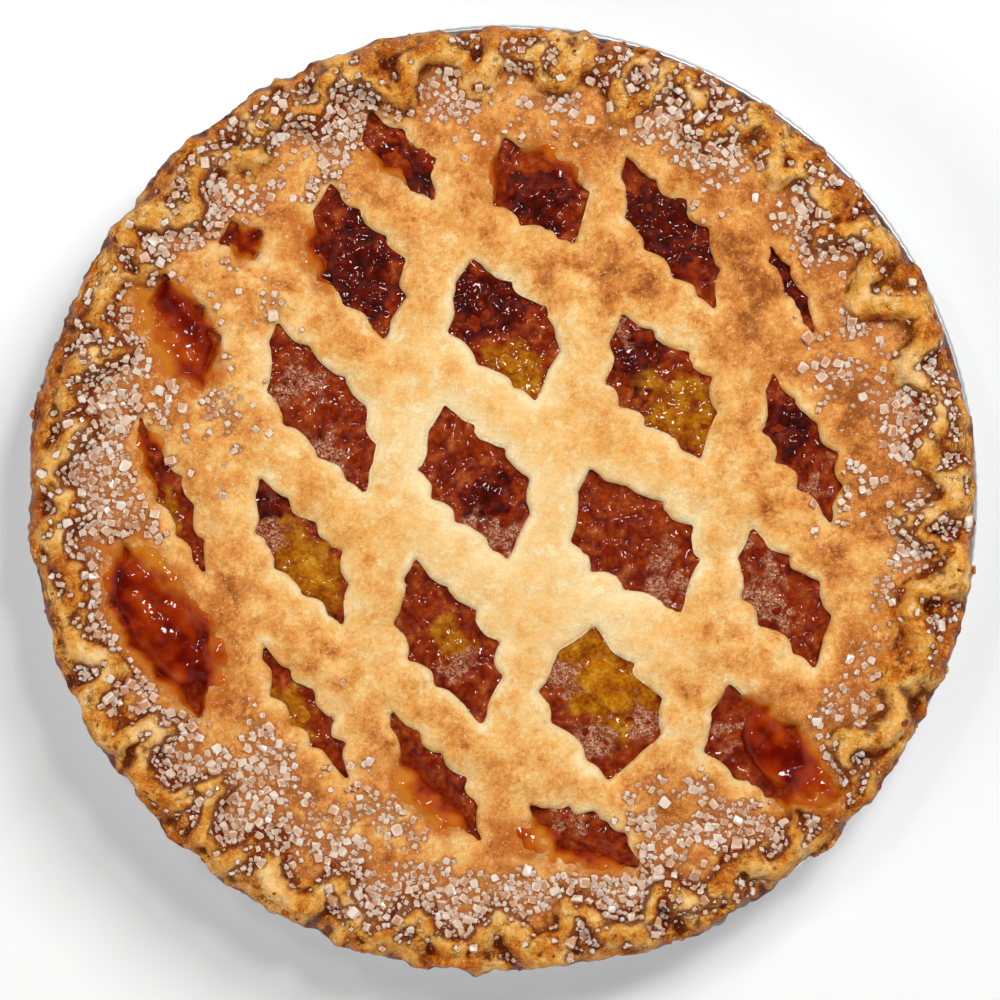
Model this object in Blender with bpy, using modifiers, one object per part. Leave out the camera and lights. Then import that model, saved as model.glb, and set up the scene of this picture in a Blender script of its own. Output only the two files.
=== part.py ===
"""Pineapple lattice pie, baked and still in its foil tin.

The origin is the centre of the tin's flat base, +Z is up and the lattice lies in plan over XY.
Sizes below are in millimetres and are turned to metres where the geometry is made.
"""
import math
import random

import bmesh
import bpy
from mathutils import Matrix, Vector
from mathutils.bvhtree import BVHTree

MM = 0.001
GAP = 0.3                    # air between pieces that touch
CRUST_SHARP = math.radians(35)
CHUNK_SHARP = math.radians(50)
TIN_SHARP = math.radians(30)
SLIVER = 0.004               # edges shorter than this are closed up

# Foil tin
TIN_BASE_RADIUS = 93.5
TIN_MOUTH_RADIUS = 110.5
TIN_RIM_RADIUS = 122.0
TIN_FLANGE_HEIGHT = 28.6
TIN_SHEET = 0.4
BEAD_RADIUS = 1.0
BEAD_LOW = 0.2               # how far the bead's middle lies below the top of its radius
BEAD_STEPS = 5
TIN_STEPS = 56
TIN_CORNER = 0.8             # size of the corner under the flange
TIN_FOOT = (1.2, 1.4)        # width and height of the corner round the base

# Pastry
LID_CROWN = 41.0             # top of the lid at the middle
LID_FALL = 4.3               # how much lower the lid is at LID_RADIUS
LID_RADIUS = 104.0
LID_RINGS = (0.0, 30.0, 58.0, 82.0, LID_RADIUS)
LID_THICKNESS = 3.2
CASE_WALL = 5.5
CASE_BASE = 3.4
CASE_TOP = 34.6              # where the case's outer side meets the lid
CRUST_RADIUS = 122.2         # mean radius of the ragged outer edge
CRUST_SLIP = 1.13            # the pastry sits this far off the tin's centre
CRUST_SLIP_ANGLE = math.radians(226)

# Pinched edge
FLUTES = 33
FLUTE_STEPS = 4              # steps around each flute
FLUTE_START = math.radians(39.6)
CREST_RADIUS = 113.0
CREST_SLIP = 2.2             # the crest leans out this much more on the pastry's wide side
CREST_SWING = 5.0            # how far the crest winds in and out
CREST_HEIGHT = 42.5
CREST_FOOT = (-5.4, 38.2)    # inner foot of the crest: place off CREST_RADIUS and height
CREST_INNER = -2.6           # the crest's flat top runs from here
CREST_OUTER = (2.0, -0.4)    # to here: place off CREST_RADIUS and off CREST_HEIGHT
SHOULDER = (4.8, 38.4)       # outer shoulder: place off CREST_RADIUS and height
SHOULDER_MARGIN = 1.2        # least distance from the shoulder to the outer edge
CREST_MARGIN = 1.5           # the same for each step of the profile further in
SHOULDER_FALL = 0.3          # how much lower the shoulder is for each millimetre it is pushed out
EDGE_HEIGHT = 33.2
UNDER_EDGE = 31.2            # height of the underside of the outer edge
FLUTE_SWINGS = (0.5, 1.2)    # range of the share of CREST_SWING that a flute has
FLUTE_HEIGHTS = (-1.5, 1.0)
FOOT_SHARE = 0.4             # how much of a flute's height its inner foot has
EDGE_RAGGED = (-0.9, 1.5)
LOW_RAGGED = 0.6             # share of the raggedness that the edge's lower side has
CREST_STRAY = 1.5

# Lattice: parallel slits, cut in staggered rows and pulled open
SLIT_TURN = math.radians(-60)
# Place of a row across the lattice, as a cubic of its number: the rows draw together outward
ROW_PLACE = (-4.7, 26.4, 0.22, -0.19)
SCALLOP_PITCH = 9.3
SCALLOP_DEPTH = 2.2
SCALLOP_BIAS = 0.45          # share of a scallop's depth that adds to the opening
LEAF_LEAN = 0.22
LEAF_BLUNT = 1.7             # 2 gives an ellipse-like leaf, and less gives sharper ends
LEAST_HALF_WIDTH = 0.05
EDGE_ROUND = 1.5             # slope of the dough down into an opening
CUT_DEPTH = 2.0              # how far a slit is cut into the filling's space
# Row number: (place along the row, shift off it, length, width opened to, twist in degrees)
SLIT_ROWS = {
    -4: [(-14.5, 0, 50, 21.5, -7)],
    -3: [(-43, 2, 45, 8.5, -8), (22.5, 4, 42, 9.5, 2)],
    -2: [(-78.5, 4, 32, 17.5, -13), (-14, 2, 44, 16.5, -1), (53.5, 3, 42, 11.5, 4)],
    -1: [(-91, 4.5, 12, 11, 0), (-43.5, 0.5, 50, 21, -3), (25, -1, 46, 22.5, -8),
         (86, 4, 33, 14.5, 30)],
    0: [(-71.5, 1.5, 43, 22, -11), (-7, -0.5, 43, 25, -8), (58.5, -1, 40, 31, -25)],
    1: [(-89.5, -1.5, 29, 12.5, 5), (-37.5, -1, 40, 25.5, -6), (26.5, 1, 44, 27.5, 2),
        (88, 2, 35, 24.5, -5)],
    2: [(-64, -1, 33, 23, 3), (-4.5, 1, 42.5, 24, -2), (58.5, 1, 40, 19.5, -6)],
    3: [(-37.5, -1, 46, 16.5, 0), (27.5, 0.5, 42, 14.5, -9)],
    4: [(-9.5, -2, 27, 5, -4)],
}

# Filling
FILLING_DIP = 0.8            # depth of the hollows in its top
FILLING_WAVES = 5            # waves that add up to the hollows
FILLING_SIDE_TOP = 31.0      # vertices above this height belong to its top
FILLING_STEPS = 36
FILLING_RINGS = range(0, 100, 14)
SPACE_RINGS = (0.0, 36.0, 70.0, 100.0)
# Pineapple chunks: row, slit, place along and across the slit, length, width, turn in degrees
CHUNKS = [
    (0, 2, -6.5, 1.0, 19.0, 12.0, 45),
    (2, 1, 8.0, -0.5, 11.0, 8.5, 255),
    (-2, 1, 6.0, -0.5, 12.0, 7.5, 0),
    (1, 1, 10.0, -1.5, 12.0, 5.5, 36),
    (-3, 1, -0.5, -1.0, 6.0, 4.0, 0),
]
CHUNK_HEIGHT = 7.0
CHUNK_PROUD = 1.1            # how far a chunk stands out of the filling
CHUNK_TAPER = 0.62           # width of a chunk's narrow end, as a share
CHUNK_ROUND = 1.4            # width of its soft edges

# Coarse sugar
GRAINS = 86
GRAIN_LARGEST = 3.9
GRAIN_SMALLEST = 2.2
GRAIN_SPACING = 1.45         # least distance between two grains, in sizes
GRAIN_LIFT = 0.12            # height of a grain's middle over the pastry, in sizes
GRAIN_TILT = 0.4             # largest tilt, in radians
SUGAR_BAND = (92.0, 118.0)   # inner and outer radius
SUGAR_DENSEST = 108.0
SUGAR_SHARE = (0.62, 0.38)   # mean density and its swing round the pie
SUGAR_SPARSE_ANGLE = math.radians(-55)
SUGAR_PROBE = 2.4            # reach of the test that keeps grains off folds and edges
SUGAR_STEEPEST = 3.4         # largest fall within that reach
SUGAR_TRIES = 20000
SEED = 28


def material(name, colour, roughness, metallic=0.0):
    """A Principled material of one colour."""
    made = bpy.data.materials.new(name)
    made.use_nodes = True
    shader = made.node_tree.nodes["Principled BSDF"]
    shader.inputs["Base Color"].default_value = (*colour, 1.0)
    shader.inputs["Roughness"].default_value = roughness
    shader.inputs["Metallic"].default_value = metallic
    made.diffuse_color = (*colour, 1.0)
    return made


def new_object(name, mesh, collection):
    """An object for a mesh, linked to a collection."""
    made = bpy.data.objects.new(name, mesh)
    collection.objects.link(made)
    return made


def turned(name, profile, steps, collection, closed=False):
    """A solid of revolution: a profile in (radius, height), top to bottom on its outer side."""
    mesh = bpy.data.meshes.new(name)
    bm = bmesh.new()
    points = [bm.verts.new((radius * MM, 0.0, height * MM)) for radius, height in profile]
    for start, end in zip(points, points[1:]):
        bm.edges.new((start, end))
    if closed:
        bm.edges.new((points[-1], points[0]))
    bm.to_mesh(mesh)
    bm.free()
    made = new_object(name, mesh, collection)
    screw = made.modifiers.new("Turn", "SCREW")
    screw.axis = "Z"
    screw.steps = steps
    screw.render_steps = steps
    screw.use_merge_vertices = True
    screw.merge_threshold = 0.00001
    screw.use_normal_calculate = True
    return apply_modifiers(made)


def apply_modifiers(subject):
    """Replace an object's mesh by the mesh that its modifiers make."""
    bpy.context.view_layer.update()
    evaluated = subject.evaluated_get(bpy.context.evaluated_depsgraph_get())
    mesh = bpy.data.meshes.new_from_object(evaluated)
    mesh.name = subject.name
    subject.modifiers.clear()
    subject.data = mesh
    return subject


def combine(subject, operation, other, solver="EXACT"):
    """Join or cut a solid by another object, or by all that a collection holds."""
    boolean = subject.modifiers.new("Combine", "BOOLEAN")
    boolean.operation = operation
    boolean.solver = solver
    if isinstance(other, bpy.types.Collection):
        boolean.operand_type = "COLLECTION"
        boolean.collection = other
    else:
        boolean.object = other
    return apply_modifiers(subject)


def drop_slivers(subject):
    """Close up the shortest edges that joining and cutting leave behind."""
    bm = bmesh.new()
    bm.from_mesh(subject.data)
    bmesh.ops.triangulate(bm, faces=bm.faces)
    bmesh.ops.dissolve_degenerate(bm, dist=SLIVER * MM, edges=bm.edges)
    bm.to_mesh(subject.data)
    bm.free()


def cutter(subject):
    """Mark an object as a cutter, which isn't a piece of the pie."""
    subject.hide_render = True
    subject.display_type = "WIRE"
    return subject


def lid_height(radius):
    """Height of the top of the lid at a distance from the middle."""
    return LID_CROWN - LID_FALL * (radius / LID_RADIUS) ** 2


def row_place(row):
    """Distance of a row of slits from the middle; the rows draw together towards the edge."""
    return sum(factor * row ** power for power, factor in enumerate(ROW_PLACE))


def leaf_outline(length, opening, steps_per_scallop):
    """Outline of an opened slit: a leaning leaf whose two sides are scalloped."""
    scallops = max(2, round(length / SCALLOP_PITCH))
    steps = scallops * steps_per_scallop
    points = []
    for side in (1, -1):
        for step in range(steps):
            along = side * (2 * step / steps - 1)
            leaned = along - side * LEAF_LEAN * (1 - along ** 2)
            half = opening / 2 * (1 - abs(leaned) ** LEAF_BLUNT)
            phase = math.pi * scallops * (along + 1) / 2
            if side < 0:
                phase += math.pi / 2
            notch = SCALLOP_DEPTH * (SCALLOP_BIAS - abs(math.sin(phase))) * (1 - along ** 6)
            width = max(LEAST_HALF_WIDTH, half + notch * min(1.0, half / 3))
            points.append(Vector((along * length / 2, side * width)))
    return points


def in_slit(row, slit, point):
    """A place on the pie, from a place along and across a slit."""
    place, shift, _, _, twist = slit
    along = Matrix.Rotation(math.radians(twist), 2) @ Vector(point)
    return Matrix.Rotation(SLIT_TURN, 2) @ (along + Vector((place, row_place(row) + shift)))


def slit_points(row, slit, widen=0.0):
    """The outline of one slit in plan, moved out by widen."""
    outline = leaf_outline(slit[2], slit[3], 2)
    moved = []
    for index, point in enumerate(outline):
        tangent = outline[(index + 1) % len(outline)] - outline[index - 1]
        outward = Vector((-tangent.y, tangent.x)).normalized()
        moved.append(in_slit(row, slit, point + widen * outward))
    return moved


def slit_cutter(name, row, slit, collection):
    """A solid that cuts one slit, with sides that slope out at the top of the lid."""
    levels = [(-LID_THICKNESS - CUT_DEPTH, 0.0), (-EDGE_ROUND, 0.0), (1.0, EDGE_ROUND + 1.0)]
    bm = bmesh.new()
    face = None
    for level, widen in levels:
        points = slit_points(row, slit, widen)
        heights = [lid_height(point.length) + level for point in points]
        ring = [Vector((point.x, point.y, height)) * MM for point, height in zip(points, heights)]
        if face is None:
            face = bm.faces.new([bm.verts.new(corner) for corner in ring])
            continue
        lower = face
        grown = bmesh.ops.extrude_face_region(bm, geom=[lower])["geom"]
        face = next(item for item in grown if isinstance(item, bmesh.types.BMFace))
        if any(len(edge.link_faces) > 2 for edge in lower.edges):
            bmesh.ops.delete(bm, geom=[lower], context="FACES_ONLY")
        for vertex, corner in zip(face.verts, ring):
            vertex.co = corner
    bmesh.ops.triangulate(bm, faces=[item for item in bm.faces if len(item.verts) > 4])
    bmesh.ops.recalc_face_normals(bm, faces=bm.faces)
    mesh = bpy.data.meshes.new(name)
    bm.to_mesh(mesh)
    bm.free()
    return cutter(new_object(name, mesh, collection))


def flute_rule():
    """Seeded unevenness: each flute's swing and height, and the crest and edge at each step."""
    draw = random.Random(SEED)
    swings = [draw.uniform(*FLUTE_SWINGS) for _ in range(FLUTES)]
    heights = [draw.uniform(*FLUTE_HEIGHTS) for _ in range(FLUTES)]
    ragged = [draw.uniform(*EDGE_RAGGED) for _ in range(FLUTES * FLUTE_STEPS)]
    strays = [draw.uniform(-CREST_STRAY, CREST_STRAY) for _ in range(FLUTES * FLUTE_STEPS)]
    return swings, heights, ragged, strays


def pinched_edge(collection):
    """The raised edge of the crust: a ring whose crest winds in and out like pinched dough."""
    in_lid, foot, inner_top, outer_top, shoulder, edge_top, edge_low = range(7)
    profile = [
        (LID_RADIUS - 3.0, CASE_TOP + 0.4),
        (CREST_RADIUS + CREST_FOOT[0], CREST_FOOT[1]),
        (CREST_RADIUS + CREST_INNER, CREST_HEIGHT),
        (CREST_RADIUS + CREST_OUTER[0], CREST_HEIGHT + CREST_OUTER[1]),
        (CREST_RADIUS + SHOULDER[0], SHOULDER[1]),
        (CRUST_RADIUS, EDGE_HEIGHT),
        (CRUST_RADIUS - 1.0, UNDER_EDGE),
        (TIN_RIM_RADIUS - 3.0, UNDER_EDGE - 0.2),
        (TIN_MOUTH_RADIUS + 1.2, TIN_FLANGE_HEIGHT + GAP + 0.2),
        (LID_RADIUS + 3.5, UNDER_EDGE - 0.6),
    ]
    ring = turned("pinched_edge", profile, FLUTES * FLUTE_STEPS, collection, closed=True)
    swings, heights, ragged, strays = flute_rule()
    for vertex in ring.data.vertices:
        radius = math.hypot(vertex.co.x, vertex.co.y) / MM
        height = vertex.co.z / MM
        around = math.atan2(vertex.co.y, vertex.co.x) % (2 * math.pi)
        step = round(around / (2 * math.pi) * FLUTES * FLUTE_STEPS) % (FLUTES * FLUTE_STEPS)
        flute = step // FLUTE_STEPS
        angle = around + FLUTE_START
        lean = math.cos(angle - CRUST_SLIP_ANGLE)
        slip = CRUST_SLIP * lean
        crest = CREST_SLIP * lean - CREST_SWING * swings[flute] * math.cos(FLUTES * around)
        crest += strays[step]
        limit = CRUST_RADIUS + slip + ragged[step]
        nearest = min(range(len(profile)), key=lambda index: math.hypot(
            profile[index][0] - radius, profile[index][1] - height))
        if nearest == in_lid:
            radius += min(0.0, crest)
        elif nearest in (foot, inner_top, outer_top):
            radius = min(radius + crest, limit - CREST_MARGIN * (edge_top - nearest))
            height += heights[flute] * (FOOT_SHARE if nearest == foot else 1.0)
        elif nearest == shoulder:
            radius = min(radius + crest, limit - SHOULDER_MARGIN)
            height -= max(0.0, crest) * SHOULDER_FALL
        elif nearest in (edge_top, edge_low):
            radius += slip + ragged[step] * (1.0 if nearest == edge_top else LOW_RAGGED)
        vertex.co = Vector((radius * math.cos(angle), radius * math.sin(angle), height)) * MM
    return ring


def pastry_core(collection):
    """The lid and the case that lines the tin, as one solid before it is hollowed."""
    clear = GAP + TIN_SHEET
    lid = [(radius, lid_height(radius)) for radius in LID_RINGS]
    case = [
        (TIN_MOUTH_RADIUS, CASE_TOP),
        (TIN_MOUTH_RADIUS - clear, TIN_FLANGE_HEIGHT - 1.2),
        (TIN_BASE_RADIUS - clear - 0.4, clear + 0.1),
        (0.0, clear + 0.1),
    ]
    return turned("pie_crust", lid + case, TIN_STEPS, collection)


def inside(shrink, lid_radii):
    """Profile of the space for the filling, shrunk by a clearance."""
    wall = CASE_WALL + shrink
    lid = [(radius, lid_height(radius) - LID_THICKNESS - shrink) for radius in lid_radii]
    return lid + [
        (LID_RADIUS - shrink, 30.0),
        (TIN_MOUTH_RADIUS - wall - 2.5, 24.0),
        (TIN_BASE_RADIUS - wall + 1.0, CASE_BASE + 1.2 + shrink),
        (0.0, CASE_BASE + 1.2 + shrink),
    ]


def grain_size(number):
    """Size of a grain: a few are large, and they come first."""
    return GRAIN_LARGEST + (GRAIN_SMALLEST - GRAIN_LARGEST) * math.sqrt(number / GRAINS)


def sugar_spots(surface):
    """Places for the sugar: spaced out over the band, denser at the left and the bottom."""
    draw = random.Random(SEED + 1)
    down = Vector((0, 0, -1))
    mean, swing = SUGAR_SHARE
    spots = []
    for _ in range(SUGAR_TRIES):
        if len(spots) == GRAINS:
            break
        angle = draw.uniform(0, 2 * math.pi)
        radius = draw.triangular(*SUGAR_BAND, SUGAR_DENSEST)
        if draw.random() > mean - swing * math.cos(angle - SUGAR_SPARSE_ANGLE):
            continue
        place = Vector((radius * math.cos(angle), radius * math.sin(angle), 2 * LID_CROWN)) * MM
        hits = [surface.ray_cast(place + Vector(side) * SUGAR_PROBE * MM, down)[0]
                for side in ((0, 0, 0), (1, 0, 0), (-1, 0, 0), (0, 1, 0), (0, -1, 0))]
        if any(hit is None for hit in hits):
            continue
        if max(hit.z for hit in hits) - min(hit.z for hit in hits) > SUGAR_STEEPEST * MM:
            continue
        if all((hits[0] - other).length > GRAIN_SPACING * grain_size(number) * MM
               for number, other in enumerate(spots)):
            spots.append(hits[0])
    return spots


def scatter_sugar(crust, loose):
    """Fuse grains of coarse sugar to the crust, the largest first."""
    bm = bmesh.new()
    bm.from_mesh(crust.data)
    surface = BVHTree.FromBMesh(bm)
    bm.free()
    draw = random.Random(SEED + 2)
    for number, spot in enumerate(sugar_spots(surface)):
        size = grain_size(number)
        bpy.ops.mesh.primitive_cube_add(size=1.0)
        grain = bpy.context.object
        grain.name = f"grain_{number}"
        turn = (Matrix.Rotation(draw.uniform(0, math.pi), 4, "Z")
                @ Matrix.Rotation(draw.uniform(-GRAIN_TILT, GRAIN_TILT), 4, "X")
                @ Matrix.Rotation(draw.uniform(-GRAIN_TILT, GRAIN_TILT), 4, "Y"))
        sides = Vector((size, size * draw.uniform(0.7, 0.95), size * draw.uniform(0.75, 0.9))) * MM
        lifted = spot + Vector((0, 0, GRAIN_LIFT * size * MM))
        grain.data.transform(Matrix.Translation(lifted) @ turn @ Matrix.Diagonal((*sides, 1.0)))
        loose.objects.link(grain)
        for home in list(grain.users_collection):
            if home is not loose:
                home.objects.unlink(grain)
    combine(crust, "UNION", loose, solver="MANIFOLD")
    drop_slivers(crust)
    for grain in list(loose.objects):
        bpy.data.objects.remove(grain)
    bpy.data.collections.remove(loose)


def pie_crust(parts, cutters):
    """Case, pinched edge and slit lid, one piece of pastry with sugar baked on."""
    crust = pastry_core(parts)
    edge = pinched_edge(cutters)
    combine(crust, "UNION", edge)
    bpy.data.objects.remove(edge)
    hollow = bpy.data.collections.new("slits")
    cutters.children.link(hollow)
    space = inside(0.0, SPACE_RINGS)
    cutter(turned("filling_space", space, FILLING_STEPS, hollow))
    for row, slits in SLIT_ROWS.items():
        for number, slit in enumerate(slits):
            slit_cutter(f"slit_{row}_{number}", row, slit, hollow)
    combine(crust, "DIFFERENCE", hollow)
    loose = bpy.data.collections.new("loose_sugar")
    bpy.context.scene.collection.children.link(loose)
    scatter_sugar(crust, loose)
    crust.data.shade_smooth()
    crust.data.set_sharp_from_angle(angle=CRUST_SHARP)
    crust.data.materials.clear()
    crust.data.materials.append(material("baked_pastry", (0.62, 0.33, 0.10), 0.55))
    return crust


def filling(parts):
    """The jam of the filling, whose uneven top shows in the slits."""
    made = turned("filling", inside(GAP, FILLING_RINGS), FILLING_STEPS, parts)
    draw = random.Random(SEED + 3)
    dips = [(draw.uniform(0.05, 0.16), draw.uniform(0, 2 * math.pi), draw.uniform(0, 6.3))
            for _ in range(FILLING_WAVES)]
    for vertex in made.data.vertices:
        x, y = vertex.co.x / MM, vertex.co.y / MM
        if vertex.co.z / MM < FILLING_SIDE_TOP:
            continue
        wave = sum(math.sin(rate * (x * math.cos(way) + y * math.sin(way)) + start)
                   for rate, way, start in dips)
        vertex.co.z -= FILLING_DIP * MM * (0.5 + wave / (2 * len(dips)))
    made.data.shade_smooth()
    made.data.materials.clear()
    made.data.materials.append(material("pineapple_jam", (0.16, 0.03, 0.012), 0.2))
    return made


def wedge(name, chunk, grow, collection):
    """A chunk of pineapple with soft edges, grown by a clearance."""
    row, number, along, across, length, width, turn = chunk
    slit = SLIT_ROWS[row][number]
    x, y = in_slit(row, slit, (along, across))
    turn = SLIT_TURN + math.radians(slit[-1] + turn)
    top = lid_height(math.hypot(x, y)) - LID_THICKNESS - GAP - FILLING_DIP / 2 + CHUNK_PROUD
    bpy.ops.mesh.primitive_cube_add(size=1.0)
    made = bpy.context.object
    made.name = name
    for vertex in made.data.vertices:
        if vertex.co.x > 0:
            vertex.co.y *= CHUNK_TAPER
    sides = (length + 2 * grow, width + 2 * grow, CHUNK_HEIGHT + 2 * grow, 1.0)
    made.data.transform(Matrix.Scale(MM, 4) @ Matrix.Translation((x, y, top - CHUNK_HEIGHT / 2))
                        @ Matrix.Rotation(turn, 4, "Z") @ Matrix.Diagonal(sides))
    bevel = made.modifiers.new("Soft edges", "BEVEL")
    bevel.width = CHUNK_ROUND * MM
    bevel.segments = 2
    for home in list(made.users_collection):
        home.objects.unlink(made)
    collection.objects.link(made)
    apply_modifiers(made)
    made.data.shade_smooth()
    made.data.set_sharp_from_angle(angle=CHUNK_SHARP)
    return made


def pineapple(parts, cutters, jam):
    """The chunks of pineapple that show, each in its own pocket in the jam."""
    flesh = material("pineapple", (0.78, 0.45, 0.06), 0.25)
    pockets = bpy.data.collections.new("pockets")
    cutters.children.link(pockets)
    for number, chunk in enumerate(CHUNKS, 1):
        made = wedge(f"pineapple_chunk_{number}", chunk, 0.0, parts)
        made.data.materials.append(flesh)
        cutter(wedge(f"pocket_{number}", chunk, GAP, pockets))
    combine(jam, "DIFFERENCE", pockets)


def foil_tin(parts):
    """The pressed foil tin: flat base, sloping wall, flange and rolled bead."""
    half = TIN_SHEET / 2
    foot_width, foot_height = TIN_FOOT
    middle = [
        (TIN_RIM_RADIUS - 2 * BEAD_RADIUS, TIN_FLANGE_HEIGHT - half),
        (TIN_MOUTH_RADIUS + TIN_CORNER, TIN_FLANGE_HEIGHT - half),
        (TIN_MOUTH_RADIUS, TIN_FLANGE_HEIGHT - TIN_CORNER),
        (TIN_BASE_RADIUS, foot_height),
        (TIN_BASE_RADIUS - foot_width, half),
    ]
    bead_centre = (TIN_RIM_RADIUS - BEAD_RADIUS, TIN_FLANGE_HEIGHT + BEAD_RADIUS - BEAD_LOW)
    bead = []
    for step in range(BEAD_STEPS):
        angle = math.radians(150 - 300 * step / BEAD_STEPS)
        bead.append((bead_centre[0] + BEAD_RADIUS * math.cos(angle),
                     bead_centre[1] + BEAD_RADIUS * math.sin(angle)))
    under, over = [], []
    for index, (radius, height) in enumerate(middle):
        before = middle[max(0, index - 1)]
        after = middle[min(len(middle) - 1, index + 1)]
        run = Vector((after[0] - before[0], after[1] - before[1])).normalized()
        out = Vector((-run.y, run.x)) * half
        over.append((radius - out.x, height - out.y))
        under.append((radius + out.x, height + out.y))
    profile = ([(0.0, TIN_SHEET)] + list(reversed(over)) + bead + under + [(0.0, 0.0)])
    made = turned("foil_tin", profile, TIN_STEPS, parts)
    made.data.shade_smooth()
    made.data.set_sharp_from_angle(angle=TIN_SHARP)
    made.data.materials.clear()
    made.data.materials.append(material("aluminium_foil", (0.75, 0.75, 0.76), 0.3, 1.0))
    return made


for old in list(bpy.data.objects):
    bpy.data.objects.remove(old)

pie = bpy.data.collections.new("pineapple_lattice_pie")
tools = bpy.data.collections.new("cutters")
bpy.context.scene.collection.children.link(pie)
bpy.context.scene.collection.children.link(tools)

foil_tin(pie)
pie_crust(pie, tools)
jam = filling(pie)
pineapple(pie, tools, jam)
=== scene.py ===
import math
import random

import bpy
import numpy as np
from mathutils import Matrix, Vector
from mathutils.kdtree import KDTree


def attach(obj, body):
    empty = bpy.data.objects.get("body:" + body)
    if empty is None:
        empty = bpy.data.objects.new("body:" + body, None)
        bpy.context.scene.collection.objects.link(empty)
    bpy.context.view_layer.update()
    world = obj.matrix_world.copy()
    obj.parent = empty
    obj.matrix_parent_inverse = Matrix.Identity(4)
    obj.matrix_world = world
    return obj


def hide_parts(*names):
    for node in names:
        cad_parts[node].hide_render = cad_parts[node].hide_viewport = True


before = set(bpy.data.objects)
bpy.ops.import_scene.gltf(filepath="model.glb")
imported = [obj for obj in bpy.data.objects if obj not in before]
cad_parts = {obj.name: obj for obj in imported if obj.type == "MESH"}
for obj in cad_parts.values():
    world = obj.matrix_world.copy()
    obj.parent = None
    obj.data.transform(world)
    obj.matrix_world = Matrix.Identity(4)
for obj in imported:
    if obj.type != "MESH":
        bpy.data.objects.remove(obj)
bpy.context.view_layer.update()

# ------------------------------------------------------------
# Foil tin: the baker's disposable tin, pressed from thin aluminium foil. The wall gathers into
# small upright pleats as it is drawn down, and the edge is rolled outward into a hollow bead.
MM = 0.001
TIN_BASE_RADIUS = 93.5
TIN_MOUTH_RADIUS = 110.5
TIN_RIM_RADIUS = 122.0
FLANGE_HEIGHT = 28.6
FOIL = 0.4
BEAD_RADIUS = 1.0
PLEATS = 110
PLEAT_DEPTH = 0.9
BEAD_TEETH = 220
TIN_AROUND = 880
WALL_STEPS = 12
MOUTH_ROUND = 0.8            # how far the wall's turn into the flange reaches
DENT_SCALE = 90.0            # soft dents about 11 mm across


def colour(hex_code):
    """An sRGB hex colour as linear RGBA."""
    parts = [int(hex_code[start:start + 2], 16) / 255 for start in (0, 2, 4)]
    linear = [part / 12.92 if part <= 0.04045 else ((part + 0.055) / 1.055) ** 2.4
              for part in parts]
    return (*linear, 1.0)


def feed(node, inputs):
    """Give a node its inputs: a socket is linked, and a plain value is set."""
    for name, value in inputs.items():
        if isinstance(value, bpy.types.NodeSocket):
            node.id_data.links.new(value, node.inputs[name])
        else:
            node.inputs[name].default_value = value


def add_node(tree, kind, settings=None, inputs=None):
    """A node with its own settings and its inputs."""
    made = tree.nodes.new(kind)
    for name, value in (settings or {}).items():
        setattr(made, name, value)
    feed(made, inputs or {})
    return made


def new_material(name, values):
    """A Principled material with values on the shader's own sockets; gives it, its node tree,
    its shader, and the place on the piece that its textures follow."""
    made = bpy.data.materials.new(name)
    made.use_nodes = True
    shader = made.node_tree.nodes["Principled BSDF"]
    feed(shader, values)
    place = add_node(made.node_tree, "ShaderNodeTexCoord").outputs["Object"]
    return made, made.node_tree, shader, place


def ease(value, low, high):
    """A number that goes from low to high as a value goes from 0 to 1."""
    return add_node(value.id_data, "ShaderNodeMapRange", inputs={
        "Value": value, "To Min": low, "To Max": high}).outputs["Result"]


def set_relief(shader, height, strength, depth):
    """Bump a shader by a height from 0 to 1, which is as deep as a depth in metres."""
    bump = add_node(height.id_data, "ShaderNodeBump", inputs={
        "Height": height, "Strength": strength, "Distance": depth})
    feed(shader, {"Normal": bump.outputs["Normal"]})


def start_piece():
    """Deselect everything before a primitive is added."""
    bpy.ops.object.select_all(action="DESELECT")


def edit_all():
    """Go into edit mode with everything selected."""
    bpy.ops.object.mode_set(mode="EDIT")
    bpy.ops.mesh.select_all(action="SELECT")


def read_points(piece):
    """A piece's vertices as an array, in millimetres."""
    flat = np.empty(len(piece.data.vertices) * 3)
    piece.data.vertices.foreach_get("co", flat)
    return flat.reshape(-1, 3) / MM


def write_points(piece, points):
    """Put a piece's vertices where the array says, in millimetres."""
    piece.data.vertices.foreach_set("co", (np.asarray(points) * MM).ravel())
    piece.data.update()


def write_values(piece, **values_of):
    """Numbers for each vertex under their names, for a material to read."""
    for name, values in values_of.items():
        layer = piece.data.attributes.new(name, "FLOAT", "POINT")
        layer.data.foreach_set("value", np.asarray(values, dtype=np.float32))


def polar(points):
    """Radius and angle of points round +Z."""
    return np.hypot(points[:, 0], points[:, 1]), np.arctan2(points[:, 1], points[:, 0])


def noise(x, y, size, seed):
    """Smooth seeded noise from -1 to 1, with lumps of about a size."""
    turn = 0.7 + seed * 1.3
    u = (x * math.cos(turn) + y * math.sin(turn)) / size + seed * 7.1
    v = (y * math.cos(turn) - x * math.sin(turn)) / size - seed * 3.7
    column, row = np.floor(u).astype(np.int64), np.floor(v).astype(np.int64)
    across, up = u - column, v - row
    across, up = across * across * (3 - 2 * across), up * up * (3 - 2 * up)

    def corner(step_x, step_y):
        key = ((column + step_x) * 374761393 + (row + step_y) * 668265263
               + seed * 1442695041) & 0xFFFFFFFF
        key = ((key ^ (key >> 13)) * 1274126177) & 0xFFFFFFFF
        return ((key ^ (key >> 16)) & 0xFFFF) / 32767.5 - 1

    low = corner(0, 0) * (1 - across) + corner(1, 0) * across
    high = corner(0, 1) * (1 - across) + corner(1, 1) * across
    return low * (1 - up) + high * up


def lumpy(x, y, *layers):
    """Noises added up, each given as (strength, size, seed)."""
    return sum(strength * noise(x, y, size, seed) for strength, size, seed in layers)


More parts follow.
